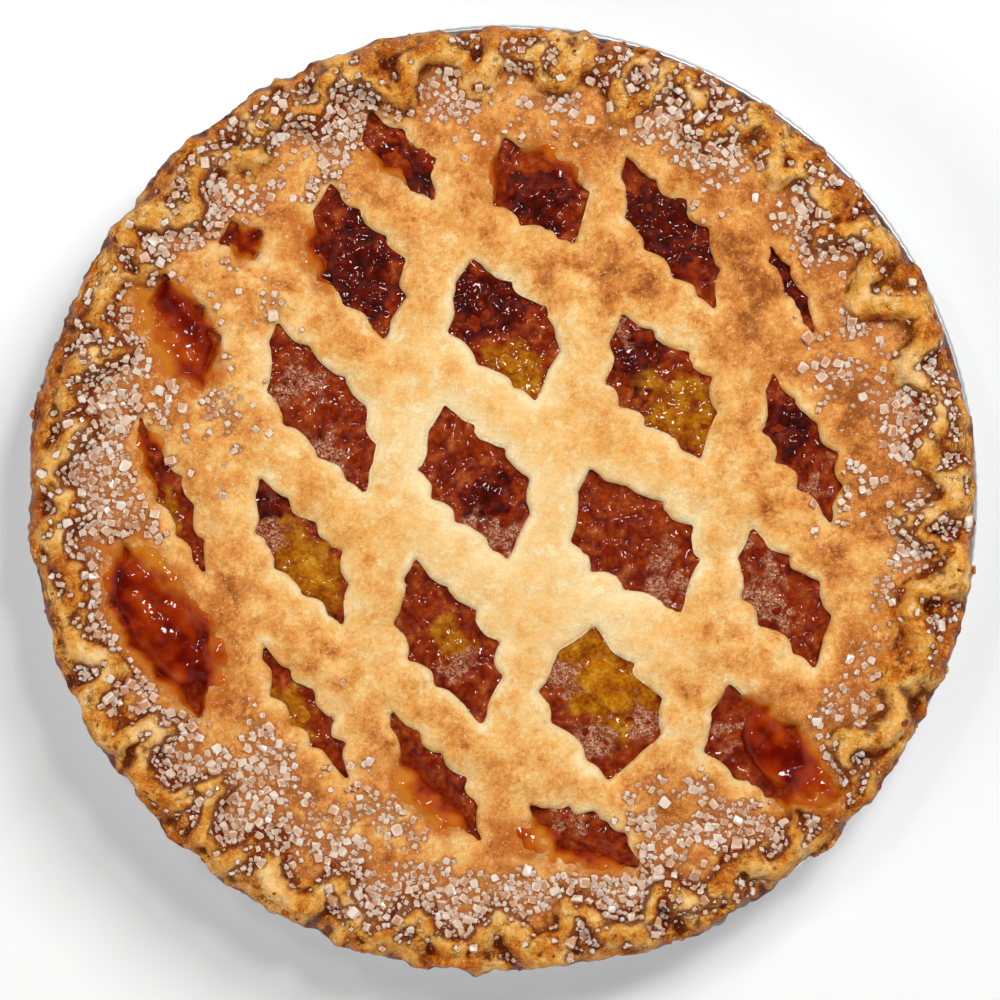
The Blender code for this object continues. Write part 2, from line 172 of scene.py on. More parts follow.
def ramp(value, low, high):
    """0 below low, 1 above high, and smooth in between."""
    share = np.clip((value - low) / (high - low), 0, 1)
    return share * share * (3 - 2 * share)


def spun(name, profile, around):
    """A closed ring of (radius, height) points, spun once round +Z and welded."""
    start_piece()
    bpy.ops.mesh.primitive_circle_add(vertices=len(profile), radius=MM, fill_type="NOTHING")
    piece = bpy.context.object
    piece.name = name
    write_points(piece, [(radius, 0, height) for radius, height in profile])
    edit_all()
    bpy.ops.mesh.spin(steps=around, angle=2 * math.pi, center=(0, 0, 0), axis=(0, 0, 1))
    bpy.ops.mesh.select_all(action="SELECT")
    bpy.ops.mesh.remove_doubles(threshold=0.000002)
    bpy.ops.mesh.normals_make_consistent(inside=False)
    bpy.ops.object.mode_set(mode="OBJECT")
    return piece


middle = [(40.0, FOIL / 2), (TIN_BASE_RADIUS - 1.2, FOIL / 2), (TIN_BASE_RADIUS - 0.2, 0.7)]
for step in range(WALL_STEPS + 1):
    share = step / WALL_STEPS
    middle.append((TIN_BASE_RADIUS + (TIN_MOUTH_RADIUS - TIN_BASE_RADIUS) * share,
                   1.4 + (FLANGE_HEIGHT - 2.2) * share))
middle += [(TIN_MOUTH_RADIUS + MOUTH_ROUND, FLANGE_HEIGHT - FOIL / 2), (114.0, FLANGE_HEIGHT - FOIL / 2),
           (TIN_RIM_RADIUS - 2.1 * BEAD_RADIUS, FLANGE_HEIGHT - FOIL / 2)]
over, under = [], []
for index, (radius, height) in enumerate(middle):
    before, after = middle[max(0, index - 1)], middle[min(len(middle) - 1, index + 1)]
    run = math.hypot(after[0] - before[0], after[1] - before[1])
    shift_r = -(after[1] - before[1]) / run * FOIL / 2
    shift_z = (after[0] - before[0]) / run * FOIL / 2
    over.append((radius + shift_r, height + shift_z))
    under.append((radius - shift_r, height - shift_z))
turns = [math.radians(150 - 30 * step) for step in range(9)]
bead = [(TIN_RIM_RADIUS - BEAD_RADIUS + BEAD_RADIUS * math.cos(turn),
         FLANGE_HEIGHT + BEAD_RADIUS - 0.2 + BEAD_RADIUS * math.sin(turn)) for turn in turns]
tin = spun("foil_tin_pressed", [(0.0, FOIL)] + over + bead + under[::-1] + [(0.0, 0.0)],
           TIN_AROUND)
spots = read_points(tin)
radius, angle = polar(spots)
wall = ramp(spots[:, 2], 1.5, 9) * (1 - ramp(spots[:, 2], 25.5, 28.0))
uneven = 0.7 + 0.3 * np.sin(angle * 7 + 1) * np.sin(angle * 17)
pleat = PLEAT_DEPTH * (0.55 - np.abs(np.sin(angle * PLEATS / 2)) ** 0.7) * wall * uneven
on_bead = ramp(radius, TIN_RIM_RADIUS - 2.2 * BEAD_RADIUS, TIN_RIM_RADIUS - 1.2 * BEAD_RADIUS)
tooth = 0.07 * np.sign(np.sin(angle * BEAD_TEETH)) * on_bead
grown = np.maximum(radius + pleat + tooth, 0) / np.maximum(radius, 0.001)
spots[:, 0] *= grown
spots[:, 1] *= grown
spots[:, 2] += 0.10 * np.sin(angle * 5) * ramp(radius, 112, 118) * (1 - on_bead)
write_points(tin, spots)
tin.data.shade_smooth()

# Aluminium foil: bright, rolled metal, a little brushed by the rolls, with soft dents.
foil, tree, shader, place = new_material("aluminium_foil", {
    "Base Color": colour("ececee"), "Metallic": 0.8, "Roughness": 0.28})
dents = add_node(tree, "ShaderNodeTexNoise", inputs={
    "Vector": place, "Scale": DENT_SCALE, "Detail": 3.0}).outputs["Fac"]
feed(shader, {"Roughness": ease(dents, 0.2, 0.42)})
set_relief(shader, dents, 0.2, 0.0006)
tin.data.materials.append(foil)
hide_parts("foil_tin")
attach(tin, "root")

# ------------------------------------------------------------
# Crust: short pastry. The lid is one rolled sheet, cut with staggered slits and pulled open, laid
# on and pinched to the case between thumb and finger all round. It is glazed, sugared and baked,
# golden in the middle and browned at the edge.
LID_CROWN = 41.0
LID_FALL = 4.3
LID_RADIUS = 104.0
CRUST_RADIUS = 122.2
CRUST_SLIP = 1.13
CRUST_SLIP_ANGLE = math.radians(226)
FLUTES = 33
FLUTE_STEPS = 4
FLUTE_START = math.radians(39.6)
CREST_RADIUS = 113.0
CREST_SLIP = 2.2
CREST_SWING = 5.0
CREST_HEIGHT = 42.5
CREST_ROOM = 3.6             # least distance from the crest to the crust's outer edge
GROOVE_HEIGHT = 37.3         # at the inner foot of the pinches
SHOULDER_HEIGHT = 38.2       # at their outer foot
EDGE_HEIGHT = 33.2
EDGE_BARE_ANGLE = math.radians(32)
SLIT_TURN = math.radians(-60)
SCALLOP_PITCH = 9.3
SCALLOP_DEPTH = 2.4
LEAF_LEAN = 0.22
EDGE_ROUND = 1.9
EDGE_REACH = 3.0
LID_PUFF = 1.1
SEED = 28
CRUST_SPACING = 0.7
SLOPE_STEP = 0.8             # half of the stretch over which a slope is measured
HOLLOW_REACH = 2.5           # how far off the ground round a hollow is measured
RIM_TURNS = 7                # passes that draw the cut grid's border onto its outlines
# Row number: (place along the row, shift off it, length, width opened to, twist in degrees).
SLIT_ROWS = {
    -4: [(-14.5, 0, 50, 21.5, -7)],
    -3: [(-43, 2, 45, 8.5, -8), (22.5, 4, 42, 9.5, 2)],
    -2: [(-78.5, 4, 32, 17.5, -13), (-14, 2, 44, 16.5, -1), (53.5, 3, 42, 11.5, 4)],
    -1: [(-91, 4.5, 12, 11, 0), (-43.5, 0.5, 50, 21, -3), (25, -1, 46, 22.5, -8),
         (86, 4, 33, 14.5, 30)],
    0: [(-71.5, 1.5, 43, 22, -11), (-7, -0.5, 43, 25, -8), (58.5, -1, 40, 31, -25)],
    1: [(-89.5, -1.5, 29, 12.5, 5), (-37.5, -1, 40, 25.5, -6), (26.5, 1, 44, 27.5, 2),
        (88, 2, 35, 24.5, -5)],
    2: [(-64, -1, 33, 23, 3), (-4.5, 1, 42.5, 24, -2), (58.5, 1, 40, 19.5, -6)],
    3: [(-37.5, -1, 46, 16.5, 0), (27.5, 0.5, 42, 14.5, -9)],
    4: [(-9.5, -2, 27, 5, -4)],
}


def row_place(row):
    """Distance of a row of slits from the middle; the rows draw together towards the edge."""
    return -4.7 + 26.4 * row + 0.22 * row ** 2 - 0.19 * row ** 3


def in_slit(row, slit, along, across):
    """Places on the pie, from places along and across a slit."""
    place, shift, _, _, twist = slit
    cosine, sine = math.cos(math.radians(twist)), math.sin(math.radians(twist))
    u = along * cosine - across * sine + place
    v = along * sine + across * cosine + row_place(row) + shift
    return (u * math.cos(SLIT_TURN) - v * math.sin(SLIT_TURN),
            u * math.sin(SLIT_TURN) + v * math.cos(SLIT_TURN))


def slit_outline(row, slit):
    """Outline of an opened slit in plan: a leaning leaf whose two sides are scalloped."""
    place, _, length, opening, _ = slit
    scallops = max(2, round(length / SCALLOP_PITCH))
    steps = scallops * 12
    along, across = [], []
    for side in (1, -1):
        run = side * (2 * np.arange(steps) / steps - 1)
        leaned = run - side * LEAF_LEAN * (1 - run ** 2)
        half = opening / 2 * (1 - np.abs(leaned) ** 1.7)
        phase = math.pi * scallops * (run + 1) / 2 + (math.pi / 2 if side < 0 else 0)
        spot = (run * 20, run * 0 + place)
        phase = phase + 0.5 * noise(*spot, 7, 4 + side)
        depth = SCALLOP_DEPTH * (1 + 0.35 * noise(*spot, 6, 6 + side))
        notch = depth * (0.45 - np.abs(np.sin(phase)) ** 0.8) * (1 - run ** 6)
        width = np.maximum(0.05, half + notch * np.minimum(1, half / 3))
        rough = lumpy(*spot, (0.55, 3.4, 8 + side), (0.35, 1.5, 11 + side))
        width = width + rough * (1 - run ** 4)
        along.append(run * length / 2)
        across.append(side * np.maximum(0.05, width))
    return np.stack(in_slit(row, slit, np.concatenate(along), np.concatenate(across)), 1)


def outline_distance(points, outline):
    """Distance of points from a closed outline, negative inside it, and the nearest spots."""
    start, end = outline, np.roll(outline, -1, axis=0)
    run = end - start
    offset = points[:, None, :] - start[None]
    share = np.clip((offset * run).sum(2) / (run ** 2).sum(1), 0, 1)
    spot = start[None] + share[..., None] * run
    gap = np.hypot(*(points[:, None, :] - spot).transpose(2, 0, 1))
    best = gap.argmin(1)
    rows = np.arange(len(points))
    x, y = points[:, :1], points[:, 1:]
    crosses = ((start[:, 1] > y) != (end[:, 1] > y)) & (
        x < run[:, 0] * (y - start[:, 1]) / np.where(run[:, 1] == 0, 1e-9, run[:, 1])
        + start[:, 0])
    inside = crosses.sum(1) % 2 == 1
    return np.where(inside, -gap[rows, best], gap[rows, best]), spot[rows, best]


slits = {(row, number): slit_outline(row, slit)
         for row, cuts in SLIT_ROWS.items() for number, slit in enumerate(cuts)}
SLIT_REACH = 7.0


def slit_distance(points):
    """Distance of points from the nearest slit, at most SLIT_REACH, and the nearest spots."""
    distance = np.full(len(points), SLIT_REACH)
    nearest = points.copy()
    for outline in slits.values():
        low, high = outline.min(0) - SLIT_REACH, outline.max(0) + SLIT_REACH
        near = np.flatnonzero(((points > low) & (points < high)).all(1))
        found, spot = outline_distance(points[near], outline)
        closer = found < distance[near]
        distance[near[closer]] = found[closer]
        nearest[near[closer]] = spot[closer]
    return distance, nearest


draw = random.Random(SEED)
swings = np.array([draw.uniform(0.5, 1.2) for _ in range(FLUTES)])
flute_heights = np.array([draw.uniform(-1.5, 1.0) for _ in range(FLUTES)])
ragged = np.array([draw.uniform(-0.9, 1.5) for _ in range(FLUTES * FLUTE_STEPS)])
strays = np.array([draw.uniform(-1.5, 1.5) for _ in range(FLUTES * FLUTE_STEPS)])


def around_edge(values, angle, shift=0.0):
    """Values spaced evenly round the pie, read at angles that count from the first pinch."""
    place = ((angle - FLUTE_START) / (2 * math.pi) % 1) * len(values) - shift
    return np.interp(place, np.arange(len(values)), values, period=len(values))


def edge_radius(angle):
    """Radius of the crust's ragged outer edge."""
    x, y = TIN_RIM_RADIUS * np.cos(angle), TIN_RIM_RADIUS * np.sin(angle)
    return (CRUST_RADIUS + CRUST_SLIP * np.cos(angle - CRUST_SLIP_ANGLE)
            - 0.7 * ramp(np.cos(angle - EDGE_BARE_ANGLE), 0.2, 0.8)
            + 0.8 * around_edge(ragged, angle) + lumpy(x, y, (0.6, 3.4, 1), (0.35, 1.5, 2)))


def crest_radius(angle):
    """Radius of the crest of the pinched edge, which winds in and out."""
    turn = FLUTES * (angle - FLUTE_START)
    wave = -np.cos(turn) - 0.18 * np.cos(2 * turn)
    swing = CREST_SWING * around_edge(swings, angle, 0.4)
    return (CREST_RADIUS + CREST_SLIP * np.cos(angle - CRUST_SLIP_ANGLE) + swing * wave
            + around_edge(strays, angle) + 0.9 * noise(angle * 40, angle * 0, 7.0, 3))


def lid_height(radius):
    """Height of the lid's top, without its unevenness."""
    return LID_CROWN - LID_FALL * (radius / LID_RADIUS) ** 2


# Syrup that boiled over: place of each pool, half of its length and width, turn and thickness.
POOLS = [
    (-88.5, -33.0, 24.5, 12.0, -58, 1.0), (-84.8, 41.8, 15.5, 9.5, -60, 0.8),
    (-67.8, 65.4, 5.2, 4.8, 0, 0.9), (-29.5, 84.2, 6.5, 4.2, -45, 0.3),
    (11.6, 86.3, 11.0, 4.6, -29, 0.5), (-3.8, 81.6, 7.0, 3.2, -80, 0.4),
    (70.8, -67.8, 18.5, 9.0, -48, 0.8), (7.0, -88.3, 8.5, 5.2, -15, 0.3),
    (21.4, -93.6, 14.5, 3.8, -10, 0.6), (-21.0, -76.9, 12.8, 5.4, -45, 0.6),
    (-50.1, 61.9, 11.0, 3.0, -70, 0.3), (-92.2, 14.3, 4.0, 3.4, 0, 0.6),
    (-91.7, 4.5, 7.0, 2.6, -65, 0.3),
]


def pool_field(x, y):
    """Distance inside the syrup's pools, negative outside, and how thick the syrup is there."""
    field, thickness = np.full(np.shape(x), -50.0), np.full(np.shape(x), 0.5)
    for place_x, place_y, long, wide, turn, thick in POOLS:
        turn = math.radians(turn)
        u = (x - place_x) * math.cos(turn) + (y - place_y) * math.sin(turn)
        v = (y - place_y) * math.cos(turn) - (x - place_x) * math.sin(turn)
        inside = (1 - (np.abs(u / long) ** 2.6 + np.abs(v / wide) ** 2.6) ** 0.38) * wide
        thickness = np.where(inside > field, thick, thickness)
        field = np.maximum(field, inside)
    return field + lumpy(x, y, (1.3, 6.0, 21), (0.6, 2.2, 22)), thickness


def crust_height(x, y):
    """The crust's top: its height, how much it is pinched edge (0 to 1), how far outside the
    crest it lies, and the outer edge's radius there."""
    bent_x = x + lumpy(x, y, (1.7, 13.0, 24), (0.8, 5.0, 25))
    bent_y = y + lumpy(x, y, (1.7, 13.0, 26), (0.8, 5.0, 27))
    radius, angle = np.hypot(x, y), np.arctan2(y, x)
    bent_radius, bent_angle = np.hypot(bent_x, bent_y), np.arctan2(bent_y, bent_x)
    edge = edge_radius(angle)
    crest = np.minimum(crest_radius(bent_angle), edge - CREST_ROOM)
    slope = (crest_radius(bent_angle + 0.012) - crest_radius(bent_angle - 0.012)) / (0.024 * crest)
    away = (bent_radius - crest) / np.sqrt(1 + 0.85 * slope ** 2)
    half = 2.6 + 1.3 * noise(x, y, 12.0, 15)
    crease = ramp(0.17 - np.abs(noise(x, y, 9.0, 18)), 0, 0.17)
    top = (CREST_HEIGHT - 0.2 + around_edge(flute_heights, angle, 0.4) + noise(x, y, 8.0, 5)
           - 0.05 * away ** 2 - 0.9 * crease)
    inner_end = half + 2.9
    inner = top - (top - GROOVE_HEIGHT) * ramp(-away, half - 1.6, inner_end)
    inner = inner - 0.5 * np.maximum(-away - inner_end, 0)
    room = np.maximum(edge - crest, CREST_ROOM)
    outer_end = np.minimum(half + 3.0, room * 0.8)
    shoulder = SHOULDER_HEIGHT + 1.3 * noise(x, y, 6, 6)
    outer = top - (top - shoulder) * ramp(away, np.minimum(half - 1.4, room * 0.25), outer_end)
    fall = np.clip((radius - crest - outer_end) / np.maximum(room - outer_end, 0.6), 0, 1)
    outer = outer - (outer - EDGE_HEIGHT) * fall ** 2.2
    ring = np.where(away < 0, inner, outer)
    bumpy = 0.5 + 0.9 * ramp(radius, 25, 75)
    lid = (lid_height(radius) + 0.6 * noise(x, y, 17, 7)
           + bumpy * lumpy(x, y, (0.55, 8, 8), (0.30, 3.6, 9), (0.12, 1.7, 10)))
    pressed = (ramp(pool_field(x, y)[0], -3.5, 0.5) * (1 - ramp(away, -0.5, 3.0))
               * ramp(edge - radius, 5, 9))
    ring = ring - pressed * np.maximum(ring - lid, 0)
    on_ring = np.maximum(ramp(ring - lid, -0.4, 1.4), ramp(away, 0.0, 1.0)) * ramp(radius, 98, 102)
    height = 0.5 * (ring + lid + np.sqrt((ring - lid) ** 2 + 0.3))
    height = np.where(away > 0, ring, height)
    height = height + (lid - height) * (1 - ramp(radius, 97, 101))
    craggy = on_ring * (0.5 + 0.8 * ramp(away, 1.8, 4.2)) + 0.4 * ramp(radius, 92, 106)
    layers = noise(radius, radius * 0, 1.5, 16) * noise(x, y, 7, 17)
    crag = (lumpy(x, y, (0.7, 3.8, 11), (0.5, 1.9, 12)) + 0.6 * layers
            - 0.9 * np.abs(noise(x, y, 4.5, 14)) + 0.3)
    return height + craggy * crag, on_ring, away, edge


def crust_top(x, y):
    """Height of the crust's top alone."""
    return crust_height(x, y)[0]


def crust_slope(x, y):
    """Slope of the crust's top along x and along y."""
    return [(crust_top(x + step_x, y + step_y) - crust_top(x - step_x, y - step_y))
            / (2 * SLOPE_STEP) for step_x, step_y in ((SLOPE_STEP, 0), (0, SLOPE_STEP))]


def hollow_at(top, x, y, step):
    """How far a surface lies below the mean of four places a step away."""
    around = [top(x + step_x, y + step_y)
              for step_x, step_y in ((step, 0), (-step, 0), (0, step), (0, -step))]
    return sum(around) / 4 - top(x, y)


def rounded_height(points):
    """Height of the crust with its slits' edges rounded over, and the distance from a slit."""
    height = crust_top(points[:, 0], points[:, 1])
    gap, _ = slit_distance(points)
    left = 1 - np.clip(gap / EDGE_REACH, 0, 1)
    puff = LID_PUFF * (ramp(gap, 1.0, SLIT_REACH) - 0.6)
    return height + puff - EDGE_ROUND * (1 - np.sqrt(np.maximum(1 - left ** 2, 0))), gap


def grid_sheet(name, reach, spacing):
    """A flat fine grid, square round the middle."""
    start_piece()
    steps = round(2 * reach / spacing)
    bpy.ops.mesh.primitive_grid_add(x_subdivisions=steps, y_subdivisions=steps,
                                    size=2 * reach * MM)
    piece = bpy.context.object
    piece.name = name
    return piece


def select_parts(piece, vertices, edges, faces):
    """Go into edit mode with these vertices, edges and faces selected; None selects none."""
    kinds = (piece.data.vertices, piece.data.edges, piece.data.polygons)
    for kind, chosen in zip(kinds, (vertices, edges, faces)):
        kind.foreach_set("select", np.zeros(len(kind), dtype=bool) if chosen is None else chosen)
    bpy.context.tool_settings.mesh_select_mode = (False, edges is not None, faces is not None)
    bpy.ops.object.mode_set(mode="EDIT")


def keep_faces(piece, wanted):
    """Keep the faces whose centres pass a test in plan, and delete the rest."""
    flat = np.empty(len(piece.data.polygons) * 3)
    piece.data.polygons.foreach_get("center", flat)
    select_parts(piece, None, None, ~wanted(flat.reshape(-1, 3)[:, :2] / MM))
    bpy.ops.mesh.delete(type="FACE")
    bpy.ops.object.mode_set(mode="OBJECT")


def edge_pairs(piece):
    """The two vertices of each edge, and whether the edge is on the sheet's border."""
    pairs = np.empty(len(piece.data.edges) * 2, dtype=np.int64)
    piece.data.edges.foreach_get("vertices", pairs)
    uses = np.empty(len(piece.data.loops), dtype=np.int64)
    piece.data.loops.foreach_get("edge_index", uses)
    return pairs.reshape(-1, 2), np.bincount(uses, minlength=len(piece.data.edges)) == 1


def neighbour_mean(values, pairs):
    """The mean of each vertex's neighbours."""
    total = np.zeros_like(values)
    number = np.zeros(len(values))
    for first, second in ((0, 1), (1, 0)):
        np.add.at(total, pairs[:, first], values[pairs[:, second]])
        np.add.at(number, pairs[:, first], 1)
    return total / np.maximum(number, 1)[:, None]


def extrude_border(piece, beyond=0.0):
    """Extrude the border past a radius in place, and flag the new vertices, which come last."""
    before = len(piece.data.vertices)
    pairs, border = edge_pairs(piece)
    border &= polar(read_points(piece)[pairs[:, 0]])[0] >= beyond
    ends = np.zeros(before, dtype=bool)
    ends[pairs[border]] = True
    select_parts(piece, ends, border, None)
    bpy.ops.mesh.extrude_region()
    bpy.ops.object.mode_set(mode="OBJECT")
    return np.arange(len(piece.data.vertices)) >= before


def close_borders(piece):
    """Close every open border with one face, and point all the faces outward."""
    edit_all()
    bpy.ops.mesh.fill_holes(sides=0)
    bpy.ops.mesh.select_all(action="SELECT")
    bpy.ops.mesh.normals_make_consistent(inside=False)
    bpy.ops.object.mode_set(mode="OBJECT")
    piece.data.shade_smooth()


def inside_edge(points):
    """Distance of points inside the crust's outer edge."""
    radius, angle = polar(points)
    return edge_radius(angle) - radius


def at_angles(radius, angle, level=0.0):
    """Points at angles round the pie, at a radius and a level."""
    return np.stack(np.broadcast_arrays(radius * np.cos(angle), radius * np.sin(angle), level), 1)


crust = grid_sheet("baked_crust", 127.0, CRUST_SPACING)
keep_faces(crust, lambda plan: (slit_distance(plan)[0] > 0) & (inside_edge(plan) > 0))
pairs, border = edge_pairs(crust)
plan = read_points(crust)[:, :2]
rim = np.unique(pairs[border])
for turn in range(RIM_TURNS):
    gap, nearest = slit_distance(plan[rim])
    radius, angle = polar(plan[rim])
    edge = edge_radius(angle)
    at_edge = np.abs(edge - radius) < np.abs(gap)
    plan[rim] = np.where(at_edge[:, None], at_angles(edge, angle)[:, :2], nearest)
    if turn == RIM_TURNS - 1:
        break
    eased = neighbour_mean(plan, pairs)
    eased[rim] = neighbour_mean(plan, pairs[border])[rim]
    near = np.minimum(slit_distance(plan)[0], inside_edge(plan)) < 3.0
    plan[near] = 0.4 * plan[near] + 0.6 * eased[near]
height, gap = rounded_height(plan)
write_points(crust, np.column_stack([plan, height]))
# How far the slits' walls go below the lid's top, then the edge's (radius, height) under it.
SLIT_WALLS = (EDGE_ROUND + 0.9, EDGE_ROUND + 3.4)
UNDER_EDGE = ((-0.5, EDGE_HEIGHT - 1.2), (-1.4, 31.3))
CASE_RINGS = ((119.2, 31.0), (111.8, 29.2), (109.7, 27.3), (92.8, 0.95))
for drop, (inward, level) in zip(SLIT_WALLS, UNDER_EDGE):
    fresh = extrude_border(crust)
    points = read_points(crust)
    radius, angle = polar(points)
    in_edge, beside = inside_edge(points[:, :2]), slit_distance(points[:, :2])[0]
    outer = fresh & (in_edge < 2.5) & (beside > 0.5)
    points[fresh & ~outer, 2] = lid_height(radius[fresh & ~outer]) - drop
    points[outer] = at_angles(edge_radius(angle[outer]) + inward, angle[outer], level)
    write_points(crust, points)
for target, level in CASE_RINGS:
    outer = extrude_border(crust, LID_RADIUS + 2)
    points = read_points(crust)
    points[outer] = at_angles(target, polar(points[outer])[1], level)
    write_points(crust, points)
close_borders(crust)

points = read_points(crust)
x, y = points[:, 0], points[:, 1]
gap, _ = slit_distance(points[:, :2])
height, on_ring, away, _ = crust_height(x, y)
hollow = hollow_at(crust_top, x, y, HOLLOW_REACH)
# The palest pastry lies along a short line near the middle, from the upper left to lower right.
along = np.clip((x - y) / math.sqrt(2), -14, 26)
from_pale = np.hypot(x - along / math.sqrt(2), y + along / math.sqrt(2))
outward = ramp(from_pale, 6, 55)
bake = 0.11 + 0.34 * outward + 0.19 * ramp(from_pale, 45, 100) + lumpy(
    x, y, (0.06, 22, 31), (0.06 + 0.12 * outward, 9, 32), (0.05 + 0.10 * outward, 3.6, 33),
    (0.07, 1.6, 36))
lip = 1 - ramp(gap + 0.7 * noise(x, y, 2.4, 56), 0.6, 2.8)
bake = bake - (0.19 + 0.14 * noise(x, y, 6, 37)) * lip
# Browner away from the slits; also darker towards the upper right and paler towards the lower left.
bake = bake + 0.10 * ramp(gap, 2.5, 6.5) + 0.05 * np.clip((x + y) / 110, -1, 1)
# The edge browns more down its outer and inner slopes, and is painted darker in its hollows as shade.
ring_bake_and_shade = (0.29 + 0.12 * ramp(away, 2.0, 5.0) + 0.08 * ramp(-away, 2.5, 4.0)
             + 0.14 * ramp(hollow, 0.0, 0.9)
             + lumpy(x, y, (0.18, 7, 38), (0.12, 3, 39), (0.07, 1.5, 40)))
in_wall = ramp(height - points[:, 2] - EDGE_ROUND, 0.0, 2.4) * (gap < 0.5)
# Burnt spots lie at random, and lean into the hollows as painted shade.
char_and_hollow_shade = lumpy(x, y, (1.0, 5.0, 34), (0.6, 2.0, 35)) + 0.30 * hollow
write_values(
    crust, bake=bake + (ring_bake_and_shade - bake) * on_ring, ring=on_ring,
    mottled=(0.5 + 0.5 * ramp(from_pale, 10, 50)) * (1 - 0.35 * on_ring),
    hollow=np.clip(hollow, -2, 2), burnt=on_ring * ramp(char_and_hollow_shade, 0.62, 0.92),
    stain=np.maximum(ramp(pool_field(x, y)[0], -2.2, 1.0), 0.9 * in_wall),
    flaky=on_ring * ramp(away, 1.5, 4.0) * ramp(noise(x, y, 7, 41), -0.5, 0.4))


def maths(operation, first, second=0.5):
    """A maths node in the first input's tree, or the second's; each is a number or a socket."""
    tree = first.id_data if isinstance(first, bpy.types.NodeSocket) else second.id_data
    return add_node(tree, "ShaderNodeMath", {"operation": operation},
                    {0: first, 1: second}).outputs["Value"]


def times(first, *others):
    """The product of a socket and other sockets or numbers."""
    for other in others:
        first = maths("MULTIPLY", first, other)
    return first


def swayed(base, *parts):
    """A base plus each part's (value - middle) * strength."""
    for value, middle, strength in parts:
        base = maths("ADD", base, times(maths("SUBTRACT", value, middle), strength))
    return base


def value_of(tree, name):
    """The number that a mesh carries under a name."""
    return add_node(tree, "ShaderNodeAttribute", {"attribute_name": name}).outputs["Fac"]


def speckle(place, size, detail=2.0, rough=0.5):
    """Noise from 0 to 1 whose lumps are about a size in millimetres."""
    return add_node(place.id_data, "ShaderNodeTexNoise", inputs={
        "Vector": place, "Scale": 1 / (size * MM), "Detail": detail,
        "Roughness": rough}).outputs["Fac"]


def step_up(value, low, high):
    """0 below low, 1 above high, and smooth in between."""
    return add_node(value.id_data, "ShaderNodeMapRange", {"interpolation_type": "SMOOTHSTEP"}, {
        "Value": value, "From Min": low, "From Max": high}).outputs["Result"]


def colours(value, stops):
    """A colour for a value, from stops of (place, hex code)."""
    made = add_node(value.id_data, "ShaderNodeValToRGB", inputs={"Fac": value})
    marks = made.color_ramp.elements
    while len(marks) < len(stops):
        marks.new(0.5)
    for mark, (place, code) in zip(marks, stops):
        mark.position = place
        mark.color = colour(code)
    return made.outputs["Color"]


def mix(share, first, second):
    """Two colours mixed; each is a socket or a hex code."""
    pair = [colour(value) if isinstance(value, str) else value for value in (first, second)]
    return add_node(share.id_data, "ShaderNodeMix", {"data_type": "RGBA"},
                    {0: share, 6: pair[0], 7: pair[1]}).outputs[2]


# Shortcrust pastry: cream where it is pale, then gold, orange-brown and dark brown as it bakes.
# The hollows of the edge are painted dark brown as shade, melted sugar browns it round the crystals, and
# syrup stains it orange.
pastry, tree, shader, place = new_material("short_pastry", {
    "Roughness": 0.5, "Specular IOR Level": 0.12, "Coat Weight": 0.03, "Coat Roughness": 0.2,
    "Subsurface Weight": 0.12, "Subsurface Radius": (0.003, 0.0014, 0.0006),
    "Subsurface Scale": 1.0})
patch = speckle(place, 7.0, 5.0, 0.68)
grain = speckle(place, 1.3, 3.0, 0.65)
fine = speckle(place, 0.45, 2.0)
floury = step_up(speckle(place, 4.2, 6.0, 0.72), 0.52, 0.60)
ring, mottled = value_of(tree, "ring"), value_of(tree, "mottled")
browned = step_up(speckle(place, 1.9, 5.0, 0.75), 0.53, 0.62)
toasted = times(browned, step_up(patch, 0.45, 0.6), mottled)
spread = times(swayed(0.0, (patch, 0.5, 0.7), (grain, 0.5, 0.62)), mottled)
tone = swayed(maths("ADD", value_of(tree, "bake"), spread), (fine, 0.5, 0.3),
              (floury, 0.3, -0.16), (toasted, 0.0, 0.15))
lid_colour = colours(tone, [(0.0, "f6ddab"), (0.22, "efc98a"), (0.42, "eab468"), (0.6, "de994c"),
                            (0.78, "c87a36"), (1.0, "94501a")])
ring_colour = colours(tone, [(0.05, "f2c98a"), (0.3, "de9f42"), (0.52, "bc6410"),
                             (0.76, "7e3000"), (1.0, "440e00")])
look = mix(ring, lid_colour, ring_colour)
# Painted shade: the edge's hollows, and also its burnt spots, are mixed towards dark brown.
sunk = swayed(value_of(tree, "hollow"), (patch, 0.5, 1.6), (grain, 0.5, 0.7))
hollow_shade_and_char = maths("MAXIMUM", times(step_up(sunk, 0.5, 1.05), ring), value_of(tree, "burnt"))
look = mix(times(hollow_shade_and_char, 0.8), look, "581200")
melted = step_up(swayed(value_of(tree, "sweet"), (grain, 0.0, 0.7)), 0.55, 1.25)
look = mix(times(melted, 0.85), look, mix(ring, "ac6430", "6c1e00"))
stain = times(value_of(tree, "stain"), step_up(patch, 0.25, 0.6))
look = mix(times(stain, 0.85), look, "b85e14")
# Painted glints: small pale cream specks mixed into the pastry's colour, in place of sparkle from the
# glaze.
painted_glints = step_up(speckle(place, 0.8, 2.0, 0.7), 0.60, 0.70)
look = mix(times(painted_glints, 0.32), look, "fff2d2")
wet = maths("MAXIMUM", maths("MAXIMUM", stain, melted), hollow_shade_and_char)

